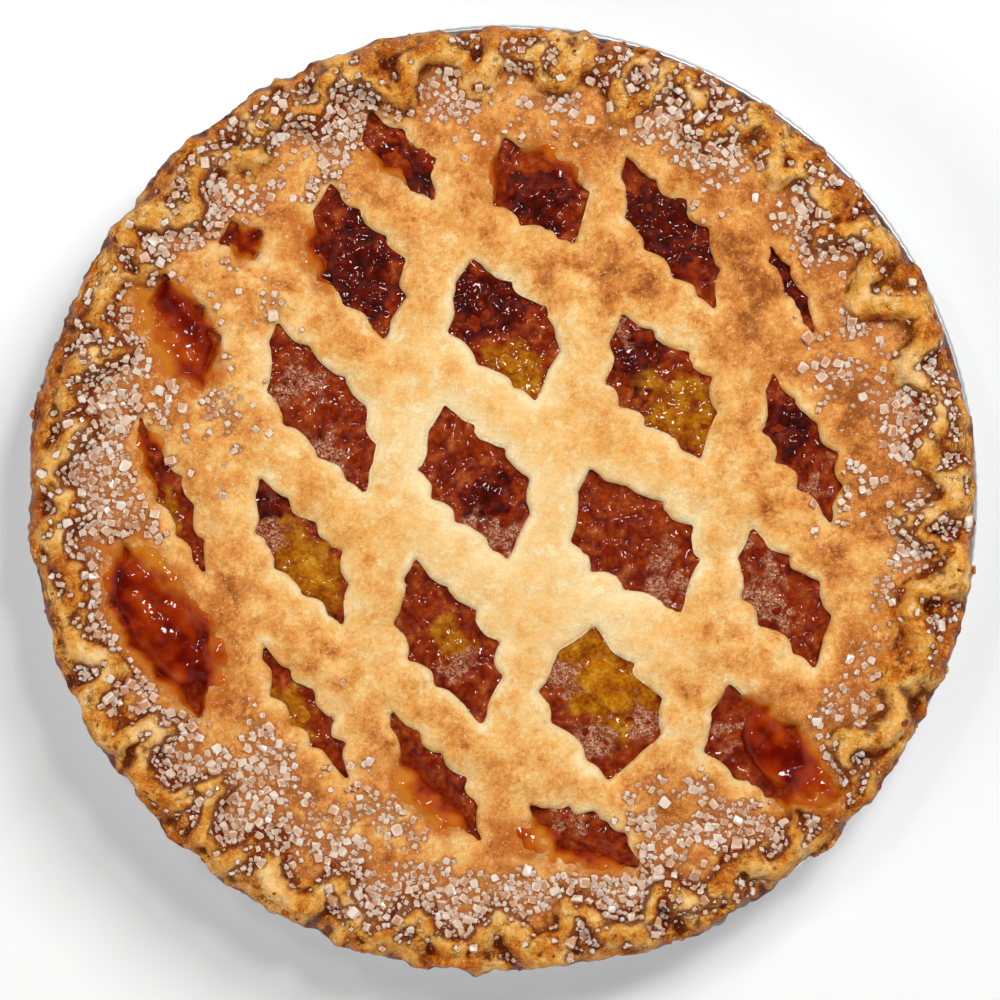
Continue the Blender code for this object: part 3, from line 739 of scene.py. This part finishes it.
# Thin dark lines of painted shade: split layers round the outer side of the edge, and wrinkles over the
# pinches.
apart = add_node(tree, "ShaderNodeSeparateXYZ", inputs={0: place})
in_plan = add_node(tree, "ShaderNodeVectorMath", {"operation": "MULTIPLY"},
                   {0: place, 1: (1.0, 1.0, 0.0)}).outputs["Vector"]
from_middle = add_node(tree, "ShaderNodeVectorMath", {"operation": "LENGTH"}, {0: in_plan})
sweep = maths("ARCTAN2", apart.outputs["Y"], apart.outputs["X"])
bands = add_node(tree, "ShaderNodeCombineXYZ", inputs={
    "X": from_middle.outputs["Value"], "Y": times(sweep, 0.03),
    "Z": times(apart.outputs["Z"], 0.5)}).outputs["Vector"]
layer = maths("ABSOLUTE", maths("SUBTRACT", speckle(bands, 2.2, 4.0, 0.6), 0.5))
split_and_shade = times(value_of(tree, "flaky"), maths("SUBTRACT", 1.0, step_up(layer, 0.0, 0.035)))
fold = maths("ABSOLUTE", maths("SUBTRACT", speckle(place, 5.0, 5.0, 0.6), 0.5))
wrinkle = times(maths("SUBTRACT", 1.0, step_up(fold, 0.0, 0.016)), ring,
                step_up(patch, 0.42, 0.6))
split_and_shade = maths("MAXIMUM", split_and_shade, wrinkle)
relief = swayed(grain, (fine, 0.0, 0.45), (floury, 0.0, 0.25), (split_and_shade, 0.0, -1.2))
set_relief(shader, relief, 0.6, 0.0007)
# Painted shade: the splits and wrinkles are darkened to deep brown; they are also pressed in as bumps.
look = mix(times(split_and_shade, 0.8), look, "4a240c")
feed(shader, {"Base Color": look, "Roughness": ease(wet, 0.52, 0.25)})
crust.data.materials.append(pastry)
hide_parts("pie_crust")
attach(crust, "root")

# ------------------------------------------------------------
# Jam: fruit cooked down with sugar and starch, wet and lumpy, with a dull starchy froth in
# places and soft yellow fruit in others. One patch fills each slit, over the solid filling.
JAM_SPACING = 0.5
JAM_MARGIN = 1.1
JAM_DROP = 3.2
JAM_SINK = 6.5               # depth of the jam's hidden underside below the lid's top
LUMP_REACH = 1.2
# Fruit that shows yellow: place, and how far it reaches along and across the slits.
FRUIT_SPOTS = [(24.7, -46.0, 18.0, 14.0), (43.2, 20.7, 13.0, 10.0), (-50.6, -19.1, 15.0, 9.0),
               (2.1, 31.8, 9.0, 8.0), (-55.7, -56.4, 9.0, 6.0), (-14.1, -37.1, 7.0, 5.0),
               (-88.0, -3.0, 7.0, 4.0)]
# Dull froth: place and reach.
FROTH_SPOTS = [(-3.1, -10.0, 7.0), (40.0, -22.0, 9.0), (66.0, -25.0, 12.0), (77.0, -1.0, 6.0),
               (13.5, -48.0, 7.0), (36.0, -58.0, 7.0), (58.0, -62.0, 7.0), (-12.5, -46.0, 6.0),
               (-62.0, -10.0, 8.0), (33.0, 46.0, 6.0), (-54.0, 29.0, 9.0), (22.0, -64.0, 8.0),
               (-47.0, 8.0, 9.0), (14.0, -85.0, 7.0), (-62.0, -62.0, 5.0)]
# Dark, thick jam: place and reach.
DARK_SPOTS = [(-39.3, 58.4, 16.0), (-4.3, 51.0, 11.0), (9.0, 76.0, 11.0), (42.0, 69.0, 16.0),
              (34.0, 35.0, 9.0), (72.0, 58.0, 12.0), (73.0, 17.0, 10.0), (25.0, -62.0, 4.0),
              (-28.0, 82.0, 9.0), (-62.0, -2.0, 5.0), (-6.0, 0.0, 9.0)]


def along_slits(x, y):
    """Places along and across the slits' rows."""
    return (x * math.cos(SLIT_TURN) + y * math.sin(SLIT_TURN),
            y * math.cos(SLIT_TURN) - x * math.sin(SLIT_TURN))


def spots_field(x, y, spots, seed, ragged_by=1.0, soft=0.4):
    """How much of a look a place has (0 to 1), from spots of (x, y, reach) or (x, y, two)."""
    field = np.full(np.shape(x), -9.0)
    for spot_x, spot_y, *reach in spots:
        u, v = along_slits(x - spot_x, y - spot_y)
        field = np.maximum(field, 1 - np.hypot(u / reach[0], v / reach[-1]))
    ragged_by = ragged_by * lumpy(x, y, (0.34, 4.0, seed), (0.22, 1.7, seed + 1))
    return ramp(field + ragged_by, 0, soft)


def jam_height(x, y):
    """Height of the jam's top in the slits."""
    smooth = spots_field(x, y, FRUIT_SPOTS, 41)
    sunk = ramp(pool_field(x, y)[0], -1.0, 1.5)
    calm = (1 - 0.35 * smooth) * (1 - 0.7 * sunk)
    lumps = (lumpy(x, y, (0.75, 5.5, 42), (0.55, 2.6, 43), (0.28, 1.25, 45))
             - 0.6 * np.abs(noise(x, y, 3.2, 44)) + 0.2)
    return lid_height(np.hypot(x, y)) - JAM_DROP - 0.8 * sunk + lumps * calm


jam = grid_sheet("cooked_jam", 112.0, JAM_SPACING)
keep_faces(jam, lambda plan: slit_distance(plan)[0] < JAM_MARGIN)
points = read_points(jam)
x, y = points[:, 0], points[:, 1]
points[:, 2] = jam_height(x, y)
write_points(jam, points)
fresh = extrude_border(jam)
points = read_points(jam)
points[fresh, 2] = lid_height(polar(points[fresh])[0]) - JAM_SINK
write_points(jam, points)
close_borders(jam)
x, y = points[:, 0], points[:, 1]
write_values(jam, fruit=spots_field(x, y, FRUIT_SPOTS, 41),
             froth=spots_field(x, y, FROTH_SPOTS, 46, 1.8, 0.9),
             dark=spots_field(x, y, DARK_SPOTS, 48),
             hollow=np.clip(hollow_at(jam_height, x, y, LUMP_REACH), -1, 1))

# Fruit jam: deep red-brown and wet, amber where fruit lies near the top, pinkish grey in froth.
cooked, tree, shader, place = new_material("fruit_jam", {
    "Roughness": 0.3, "Specular IOR Level": 0.06, "Coat Weight": 0.5, "Coat Roughness": 0.04})
patch = speckle(place, 4.5, 3.0, 0.6)
grain = speckle(place, 1.1, 3.0, 0.7)
fine = speckle(place, 0.5, 2.0)
# Painted shade: the jam is darker in the hollows between its lumps.
tone = swayed(times(patch, 0.9), (grain, 0.0, 0.5), (value_of(tree, "dark"), 0.0, -0.3),
              (value_of(tree, "hollow"), 0.0, -0.35))
look = colours(tone, [(0.2, "2c0300"), (0.42, "500a00"), (0.62, "731b02"), (0.8, "903408"),
                      (1.0, "ac5a20")])
yellow = colours(swayed(grain, (patch, 0.5, 1.4)), [
    (0.2, "7a3000"), (0.42, "985002"), (0.6, "ac6c04"), (0.85, "c08c2a")])
look = mix(times(value_of(tree, "fruit"), 0.92), look, yellow)
dust = colours(swayed(fine, (grain, 0.5, 1.0)), [
    (0.3, "62240e"), (0.46, "925236"), (0.6, "b67e62"), (0.75, "dcb09a")])
froth = swayed(value_of(tree, "froth"), (patch, 0.5, 1.4))
froth = times(step_up(froth, 0.1, 1.0), 0.9)
look = mix(froth, look, dust)
feed(shader, {"Base Color": look, "Roughness": ease(froth, 0.25, 0.5),
              "Coat Weight": ease(froth, 0.6, 0.1)})
set_relief(shader, swayed(times(grain, 0.9), (fine, 0.0, 0.5)), 0.5, 0.0009)
jam.data.materials.append(cooked)
filling = bpy.data.objects["filling"]
filling.data.materials.clear()
filling.data.materials.append(cooked)
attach(jam, "root")

# ------------------------------------------------------------
# Pineapple: soft cooked chunks of amber fruit with a fibrous grain, sunk in the jam in five of
# the slits. Each is a block whose corners the cooking has rounded.
CHUNK_HEIGHT = 7.0
CHUNK_PROUD = 1.1
# Row, number of the slit in its row, then place along and across it, length, width and turn.
CHUNKS = [(0, 2, -6.5, 1.0, 19.0, 12.0, 45), (2, 1, 8.0, -0.5, 11.0, 8.5, 255),
          (-2, 1, 6.0, -0.5, 12.0, 7.5, 0), (1, 1, 10.0, -1.5, 12.0, 5.5, 36),
          (-3, 1, -0.5, -1.0, 6.0, 4.0, 0)]
fruit, _, shader, place = new_material("cooked_pineapple", {
    "Roughness": 0.3, "Specular IOR Level": 0.05, "Coat Weight": 0.6, "Coat Roughness": 0.05,
    "Subsurface Weight": 0.3, "Subsurface Radius": (0.004, 0.0022, 0.0006),
    "Subsurface Scale": 1.0})
patch = speckle(place, 4.0, 3.0, 0.6)
fine = speckle(place, 0.8, 2.0)
look = colours(swayed(patch, (fine, 0.5, 0.5)), [
    (0.25, "803602"), (0.42, "a65a04"), (0.58, "b87408"), (0.8, "d09a34")])
feed(shader, {"Base Color": look})
set_relief(shader, fine, 0.35, 0.0008)
for number, (row, in_row, along, across, length, width, turn) in enumerate(CHUNKS, 1):
    start_piece()
    bpy.ops.mesh.primitive_cube_add(size=2 * MM)
    chunk = bpy.context.object
    chunk.name = f"cooked_pineapple_{number}"
    edit_all()
    bpy.ops.mesh.subdivide(number_cuts=15)
    bpy.ops.object.mode_set(mode="OBJECT")
    spots = read_points(chunk)
    swell = np.linalg.norm(spots, ord=4, axis=1) / np.abs(spots).max(1)
    spots = spots / swell[:, None]
    spots[:, 0] *= length / 2 * (1 - 0.08 * spots[:, 1])
    spots[:, 1] *= width / 2 * (1 + 0.06 * spots[:, 0] / length)
    spots[:, 2] *= CHUNK_HEIGHT / 2
    slit = SLIT_ROWS[row][in_row]
    middle_x, middle_y = in_slit(row, slit, along, across)
    top = lid_height(math.hypot(middle_x, middle_y)) - JAM_DROP - 0.5 + CHUNK_PROUD
    turn = SLIT_TURN + math.radians(slit[-1] + turn)
    x = middle_x + spots[:, 0] * math.cos(turn) - spots[:, 1] * math.sin(turn)
    y = middle_y + spots[:, 0] * math.sin(turn) + spots[:, 1] * math.cos(turn)
    fibres = noise(spots[:, 0], spots[:, 1] * 3, 2.4, 60 + number)
    wrinkle = 0.35 * noise(x, y, 3.0, 50 + number) + 0.22 * fibres
    z = top - CHUNK_HEIGHT / 2 + spots[:, 2] + (wrinkle - 0.3) * (spots[:, 2] > 0)
    write_points(chunk, np.column_stack([x, y, z]))
    chunk.data.shade_smooth()
    chunk.data.materials.append(fruit)
    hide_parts(f"pineapple_chunk_{number}")
    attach(chunk, "root")

# ------------------------------------------------------------
# Syrup: juice that boiled up through the slits, ran over the pastry and set to a glassy
# orange-red jelly. Each pool is a closed skin that fills its slit and thins out over the crust.
SYRUP_SPACING = 0.5
SYRUP_FOOT = 30.0            # its hidden underside, flat inside the crust
syrup = grid_sheet("boiled_over_syrup", 112.0, SYRUP_SPACING)
keep_faces(syrup, lambda plan: pool_field(*plan.T)[0] > 0)
pairs, border = edge_pairs(syrup)
plan = read_points(syrup)[:, :2]
rim = np.unique(pairs[border])
for _ in range(4):
    eased = neighbour_mean(plan, pairs[border])
    plan[rim] = 0.5 * plan[rim] + 0.5 * eased[rim]
x, y = plan[:, 0], plan[:, 1]
field, thickness = pool_field(x, y)
field = np.maximum(field, 0)
field[rim] = 0
ground, gap = rounded_height(plan)
level = ground
for _ in range(10):
    level = 0.4 * level + 0.6 * neighbour_mean(level[:, None], pairs)[:, 0]
level = ground + (level - ground) * ramp(field, 0.3, 2.0)
film = (-0.3 + (0.4 + 0.9 * thickness) * ramp(field, 0.0, 3.5)
        - 2.8 * ramp(-gap, 0.0, 1.5) * (1 - ramp(field, 0.5, 5.0)))
ripple = lumpy(x, y, (0.42, 6.5, 51), (0.34, 3.0, 52), (0.17, 1.4, 54))
write_points(syrup, np.column_stack([plan, level + film + ripple * ramp(field, 0.3, 2.5)]))
fresh = extrude_border(syrup)
points = read_points(syrup)
points[fresh, 2] = SYRUP_FOOT
write_points(syrup, points)
close_borders(syrup)
x, y = points[:, 0], points[:, 1]
gap, _ = slit_distance(points[:, :2])
field, thickness = pool_field(x, y)
u, v = along_slits(x, y)
write_values(syrup, depth=0.04 + 0.30 * thickness * ramp(field, 0, 5)
            + 0.28 * ramp(-gap, -1.5, 2.0) + 0.26 * noise(u / 3, v, 4.5, 53)
            + 0.24 * ramp(-gap, 0.0, 2.0) * (1 - ramp(field, 1.0, 5.0))
            + 0.12 * noise(x, y, 2.5, 55))

# Set fruit syrup: clear and glassy; amber where it is a film, deep red where it is deep.
jelly, tree, shader, place = new_material("set_fruit_syrup", {
    "Roughness": 0.2, "Specular IOR Level": 0.06, "Coat Weight": 0.7, "Coat Roughness": 0.03,
    "Subsurface Weight": 0.2, "Subsurface Radius": (0.004, 0.0012, 0.0004),
    "Subsurface Scale": 1.0})
patch = speckle(place, 5.0, 3.0, 0.55)
fine = speckle(place, 1.5, 2.0)
tone = swayed(value_of(tree, "depth"), (patch, 0.5, 0.55))
look = colours(tone, [(0.0, "c4761a"), (0.2, "b85806"), (0.45, "982c02"), (0.7, "6a0e01"),
                      (1.0, "3c0200")])
feed(shader, {"Base Color": look})
set_relief(shader, fine, 0.16, 0.0012)
syrup.data.materials.append(jelly)
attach(syrup, "root")

# ------------------------------------------------------------
# Sugar: coarse crystals strewn over the edge before baking. They are blocky and half clear,
# lie in drifts in the hollows of the pinched edge, and have melted brown where they touch it.
# How many crystals there are of each range of sizes.
SIZES = [(700, 1.6, 2.6), (1400, 1.1, 1.8), (1100, 0.7, 1.2)]
# Drifts that lie further in on the lid: place, reach and share.
DRIFTS = [(-73, 48, 12, 0.9), (-83, 17, 12, 1.0), (-40, -92, 16, 1.0), (-60, -72, 14, 1.0),
          (48, -91, 15, 1.0), (4, 99, 12, 0.8), (93, 3, 12, 0.8), (-99, -8, 10, 0.8),
          (60, 78, 9, 0.5), (35, -83, 7, 0.9), (-50, 84, 9, 0.6), (88, 35, 10, 0.7)]
BARE = (99.0, -53.0, 19.0)   # a place with hardly any sugar, and its reach
THROWS = 150000
CELL = 4.0                   # side of the squares that neighbours are looked up in
CROWDING = 0.43              # how near two crystals may lie, as a share of their sizes' sum
TILT = 0.35
draw = random.Random(SEED + 1)


def sugar_share(x, y):
    """How likely a crystal is to lie at a place (0 to 1)."""
    radius = np.hypot(x, y)
    share = 0.95 * ramp(radius, 95, 103) * (1 - ramp(radius, 113, 121))
    for place_x, place_y, reach, strength in DRIFTS:
        near = np.hypot(x - place_x, y - place_y) / reach
        share = np.maximum(share, strength * np.exp(-1.6 * near ** 2))
    bare = np.hypot(x - BARE[0], y - BARE[1]) / BARE[2]
    return share * (1 - 0.9 * np.exp(-bare ** 4))


start_piece()
bpy.ops.mesh.primitive_cube_add(size=MM)
sugar = bpy.context.object
sugar.name = "coarse_sugar"
edit_all()
bpy.ops.mesh.bevel(offset=0.16 * MM, segments=1, affect="EDGES")
bpy.ops.object.mode_set(mode="OBJECT")

tries = np.array([(draw.uniform(-122, 122), draw.uniform(-122, 122), draw.random(), draw.random())
                  for _ in range(THROWS)])
x, y, chance, _ = tries.T
_, on_ring, away, edge = crust_height(x, y)
hollow = hollow_at(crust_top, x, y, HOLLOW_REACH)
drifted = ramp(lumpy(x, y, (1.0, 11, 71), (0.7, 4.5, 72)), -0.45, 0.25)
share = sugar_share(x, y) * (0.3 + 0.7 * ramp(hollow, -0.5, 0.4)) * (0.04 + 0.96 * drifted)
share = share * (1 - 0.85 * on_ring * (1 - ramp(np.abs(away), 1.6, 3.6)) * (hollow < 0.1))
gap, _ = slit_distance(tries[:, :2])
clear = (gap > 0.9) & (pool_field(x, y)[0] < -0.1) & (np.hypot(x, y) < edge - 1.5)
lucky = np.flatnonzero((chance < share) & clear)
placed, cells = [], {}


def crowded(x, y, size):
    """Whether a crystal would sink too far into another one."""
    column, row = math.floor(x / CELL), math.floor(y / CELL)
    for near_column in (column - 1, column, column + 1):
        for near_row in (row - 1, row, row + 1):
            for other_x, other_y, other in cells.get((near_column, near_row), ()):
                if math.hypot(x - other_x, y - other_y) < CROWDING * (size + other):
                    return True
    return False


limits = np.cumsum([number for number, _, _ in SIZES])
for index in lucky:
    if len(placed) >= limits[-1]:
        break
    x, y, _, luck = tries[index]
    _, smallest, largest = SIZES[int(np.searchsorted(limits, len(placed), side="right"))]
    size = smallest + (largest - smallest) * luck ** 1.7
    if crowded(x, y, size):
        continue
    placed.append((x, y, size))
    cells.setdefault((math.floor(x / CELL), math.floor(y / CELL)), []).append((x, y, size))


def copied(piece, number):
    """Lay copies of a piece on itself; gives all the points, and how many each copy has."""
    rows = piece.modifiers.new("copies", "ARRAY")
    rows.count = number
    rows.relative_offset_displace = (0, 0, 0)
    bpy.ops.object.modifier_apply(modifier=rows.name)
    shape = read_points(piece)
    return shape, len(shape) // number


def tumbled(draw, up, tilt):
    """A random turn about a piece's own up direction, a little tilted."""
    return (up.to_track_quat("Z", "X").to_matrix()
            @ Matrix.Rotation(draw.uniform(-tilt, tilt), 3, "X")
            @ Matrix.Rotation(draw.uniform(-tilt, tilt), 3, "Y")
            @ Matrix.Rotation(draw.uniform(0, 2 * math.pi), 3, "Z"))


shape, each = copied(sugar, len(placed))
grain_x, grain_y, _ = np.array(placed).T
ground = crust_top(grain_x, grain_y)
lean_x, lean_y = crust_slope(grain_x, grain_y)
tints = []
for index, (x, y, size) in enumerate(placed):
    block = shape[index * each:(index + 1) * each]
    stretch = Vector((draw.uniform(0.8, 1.25), draw.uniform(0.8, 1.15), draw.uniform(0.65, 0.9)))
    up = Vector((-lean_x[index], -lean_y[index], 1)).normalized()
    turn = tumbled(draw, up, TILT)
    warp = np.array([[draw.uniform(-0.13, 0.13) for _ in range(3)] for _ in range(each)])
    block = (block * np.array(stretch) + warp) * size
    block = block @ np.array(turn).T
    middle = np.array((x, y, ground[index])) + np.array(up) * size * draw.uniform(0.0, 0.26)
    shape[index * each:(index + 1) * each] = block + middle
    tints += [draw.random()] * each
write_points(sugar, shape)
write_values(sugar, tint=tints)
# The bevels are the six-sided blocks' smaller faces, which come after the six large ones; they carry a
# painted highlight.
areas = np.empty(len(sugar.data.polygons))
sugar.data.polygons.foreach_get("area", areas)
areas = areas.reshape(len(placed), -1)
bevel_highlight = sugar.data.attributes.new("bevel_highlight", "FLOAT", "FACE")
bevel_highlight.data.foreach_set("value", (areas < 0.4 * areas.max(1, keepdims=True)).ravel().astype(float))
sugar.data.shade_flat()

# Sugar: clear crystals clouded by the oven, with a faint pink-brown of caramel.
crystal, tree, shader, _ = new_material("coarse_sugar_crystal", {
    "Roughness": 0.14, "Specular IOR Level": 0.4, "Subsurface Weight": 0.5,
    "Subsurface Radius": (0.003, 0.0018, 0.0013), "Subsurface Scale": 1.0})
look = colours(value_of(tree, "tint"), [
    (0.0, "c48a64"), (0.3, "d6a684"), (0.7, "e4c0a6"), (1.0, "f0dac9")])
# Painted highlight: the crystals' bevelled edges are mixed towards a pale cream.
look = mix(times(value_of(tree, "bevel_highlight"), 0.55), look, "fbeadc")
feed(shader, {"Base Color": look})
sugar.data.materials.append(crystal)
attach(sugar, "root")

# The pastry under and round the crystals carries the caramel that they melted into.
MELT_REACH = 2.6
MELT_FADE = 0.55
points = read_points(crust)
nearby = KDTree(len(placed))
for index, (x, y, size) in enumerate(placed):
    nearby.insert((x, y, 0), index)
nearby.balance()
sweet = np.zeros(len(points))
for index in np.flatnonzero((polar(points)[0] > 50) & (points[:, 2] > 32)):
    x, y, _ = points[index]
    for _, melted, apart in nearby.find_range((x, y, 0), MELT_REACH):
        sweet[index] += math.exp(-max(0.0, apart - placed[melted][2] / 2) / MELT_FADE)
write_values(crust, sweet=np.clip(sweet, 0, 1.3) * 0.8)

# ------------------------------------------------------------
# Flakes: thin chips of baked pastry that have lifted and cracked off the pinched edge's outer
# side. Each is a many-sided plate with uneven corners, and a few stick out past the edge.
FLAKES = 170
FLAKE_SIDES = 9
FLAKE_THICKNESS = 0.45
FLAKE_TILT = 0.3
start_piece()
bpy.ops.mesh.primitive_cylinder_add(vertices=FLAKE_SIDES, radius=0.5 * MM, depth=MM)
flakes = bpy.context.object
flakes.name = "pastry_flakes"
draw = random.Random(SEED + 2)
shape, each = copied(flakes, FLAKES)
tones = []
for index in range(FLAKES):
    angle = draw.uniform(0, 2 * math.pi)
    size = 0.9 + 2.2 * draw.random() ** 2.2
    radius = float(edge_radius(np.array([angle]))[0]) + 0.2 - draw.uniform(0, 6.5)
    x, y = np.array([radius * math.cos(angle)]), np.array([radius * math.sin(angle)])
    lean_x, lean_y = crust_slope(x, y)
    up = Vector((-lean_x[0], -lean_y[0], 1.0)).normalized() + Vector((0, 0, 0.5))
    turn = tumbled(draw, up.normalized(), FLAKE_TILT)
    block = shape[index * each:(index + 1) * each]
    thick = block[:, 2] * FLAKE_THICKNESS
    uneven = np.array([draw.uniform(0.65, 1.25) for _ in range(FLAKE_SIDES)])
    corner = np.round(polar(block)[1] / (2 * math.pi) * FLAKE_SIDES - 0.25).astype(int)
    block = block * uneven[corner % FLAKE_SIDES][:, None]
    block = block * size * (1, draw.uniform(0.5, 0.9), 0)
    block[:, 2] = thick + 0.12 * size * noise(block[:, 0], block[:, 1], 1.2, 80 + index % 5)
    middle = np.array((x[0], y[0], crust_top(x, y)[0] + 0.15))
    shape[index * each:(index + 1) * each] = block @ np.array(turn).T + middle
    tones += [draw.uniform(0.35, 0.8)] * each
write_points(flakes, shape)
write_values(flakes, bake=tones, ring=np.ones(len(shape)), mottled=np.full(len(shape), 0.65))
flakes.data.shade_flat()
flakes.data.materials.append(pastry)
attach(flakes, "root")

# ------------------------------------------------------------
# Table, light and camera: a pale table, soft studio light from the upper right, and a camera
# straight above the pie.
start_piece()
bpy.ops.mesh.primitive_plane_add(size=6.0)
table = bpy.context.object
table.name = "table"
table.data.transform(Matrix.Translation((0, 0, -0.0001)))
paint, *_ = new_material("matt_white_paint", {
    "Base Color": colour("f2f2f2"), "Roughness": 0.9})
table.data.materials.append(paint)

SKY_LOW = 0.42               # brightness of the sky near the horizon, and overhead
SKY_TOP = 0.03
# Name, place, size and power of each lamp. The key lights the pie softly without a sheen, and the
# two small lamps give the wet fruit its glints.
LIGHTS = [("key", (0.58, 0.68, 1.20), 0.55, 13.5), ("glint_right", (0.30, 0.42, 1.40), 0.19, 4.2),
          ("glint_left", (-0.34, 0.36, 1.40), 0.13, 1.6), ("fill", (-1.1, -0.7, 1.0), 1.1, 10.5)]
for name, place, size, power in LIGHTS:
    light = bpy.data.lights.new(name, "AREA")
    light.shape = "SQUARE"
    light.size = size
    light.energy = power
    lamp = bpy.data.objects.new(name, light)
    lamp.location = place
    lamp.rotation_euler = (Vector((0, 0, 0.03)) - Vector(place)).to_track_quat("-Z", "Y").to_euler()
    lamp.visible_glossy = name not in ("key", "fill")
    bpy.context.scene.collection.objects.link(lamp)
world = bpy.data.worlds.new("studio")
world.use_nodes = True
sky = world.node_tree
toward = add_node(sky, "ShaderNodeSeparateXYZ",
                  inputs={0: add_node(sky, "ShaderNodeTexCoord").outputs["Generated"]})
rise = add_node(sky, "ShaderNodeMapRange", {"interpolation_type": "SMOOTHSTEP"}, {
    "Value": toward.outputs["Z"], "From Min": 0.5, "From Max": 0.93, "To Min": SKY_LOW,
    "To Max": SKY_TOP})
feed(sky.nodes["Background"], {"Strength": rise.outputs["Result"], "Color": (1.0, 1.0, 1.0, 1.0)})
bpy.context.scene.world = world
bpy.context.scene.view_settings.view_transform = "Standard"

FRAME_WIDTH = 0.2588         # width of the view at the height of the tin's bead
VIEW_MIDDLE = (-0.00176, -0.00111)
LENS = 200.0
SENSOR = 36.0
camera_data = bpy.data.cameras.new("camera")
camera_data.lens = LENS
camera_data.sensor_width = SENSOR
camera = bpy.data.objects.new("camera", camera_data)
camera.location = (*VIEW_MIDDLE, (FLANGE_HEIGHT + 1.0) * MM + FRAME_WIDTH * LENS / SENSOR)
bpy.context.scene.collection.objects.link(camera)
bpy.context.scene.camera = camera
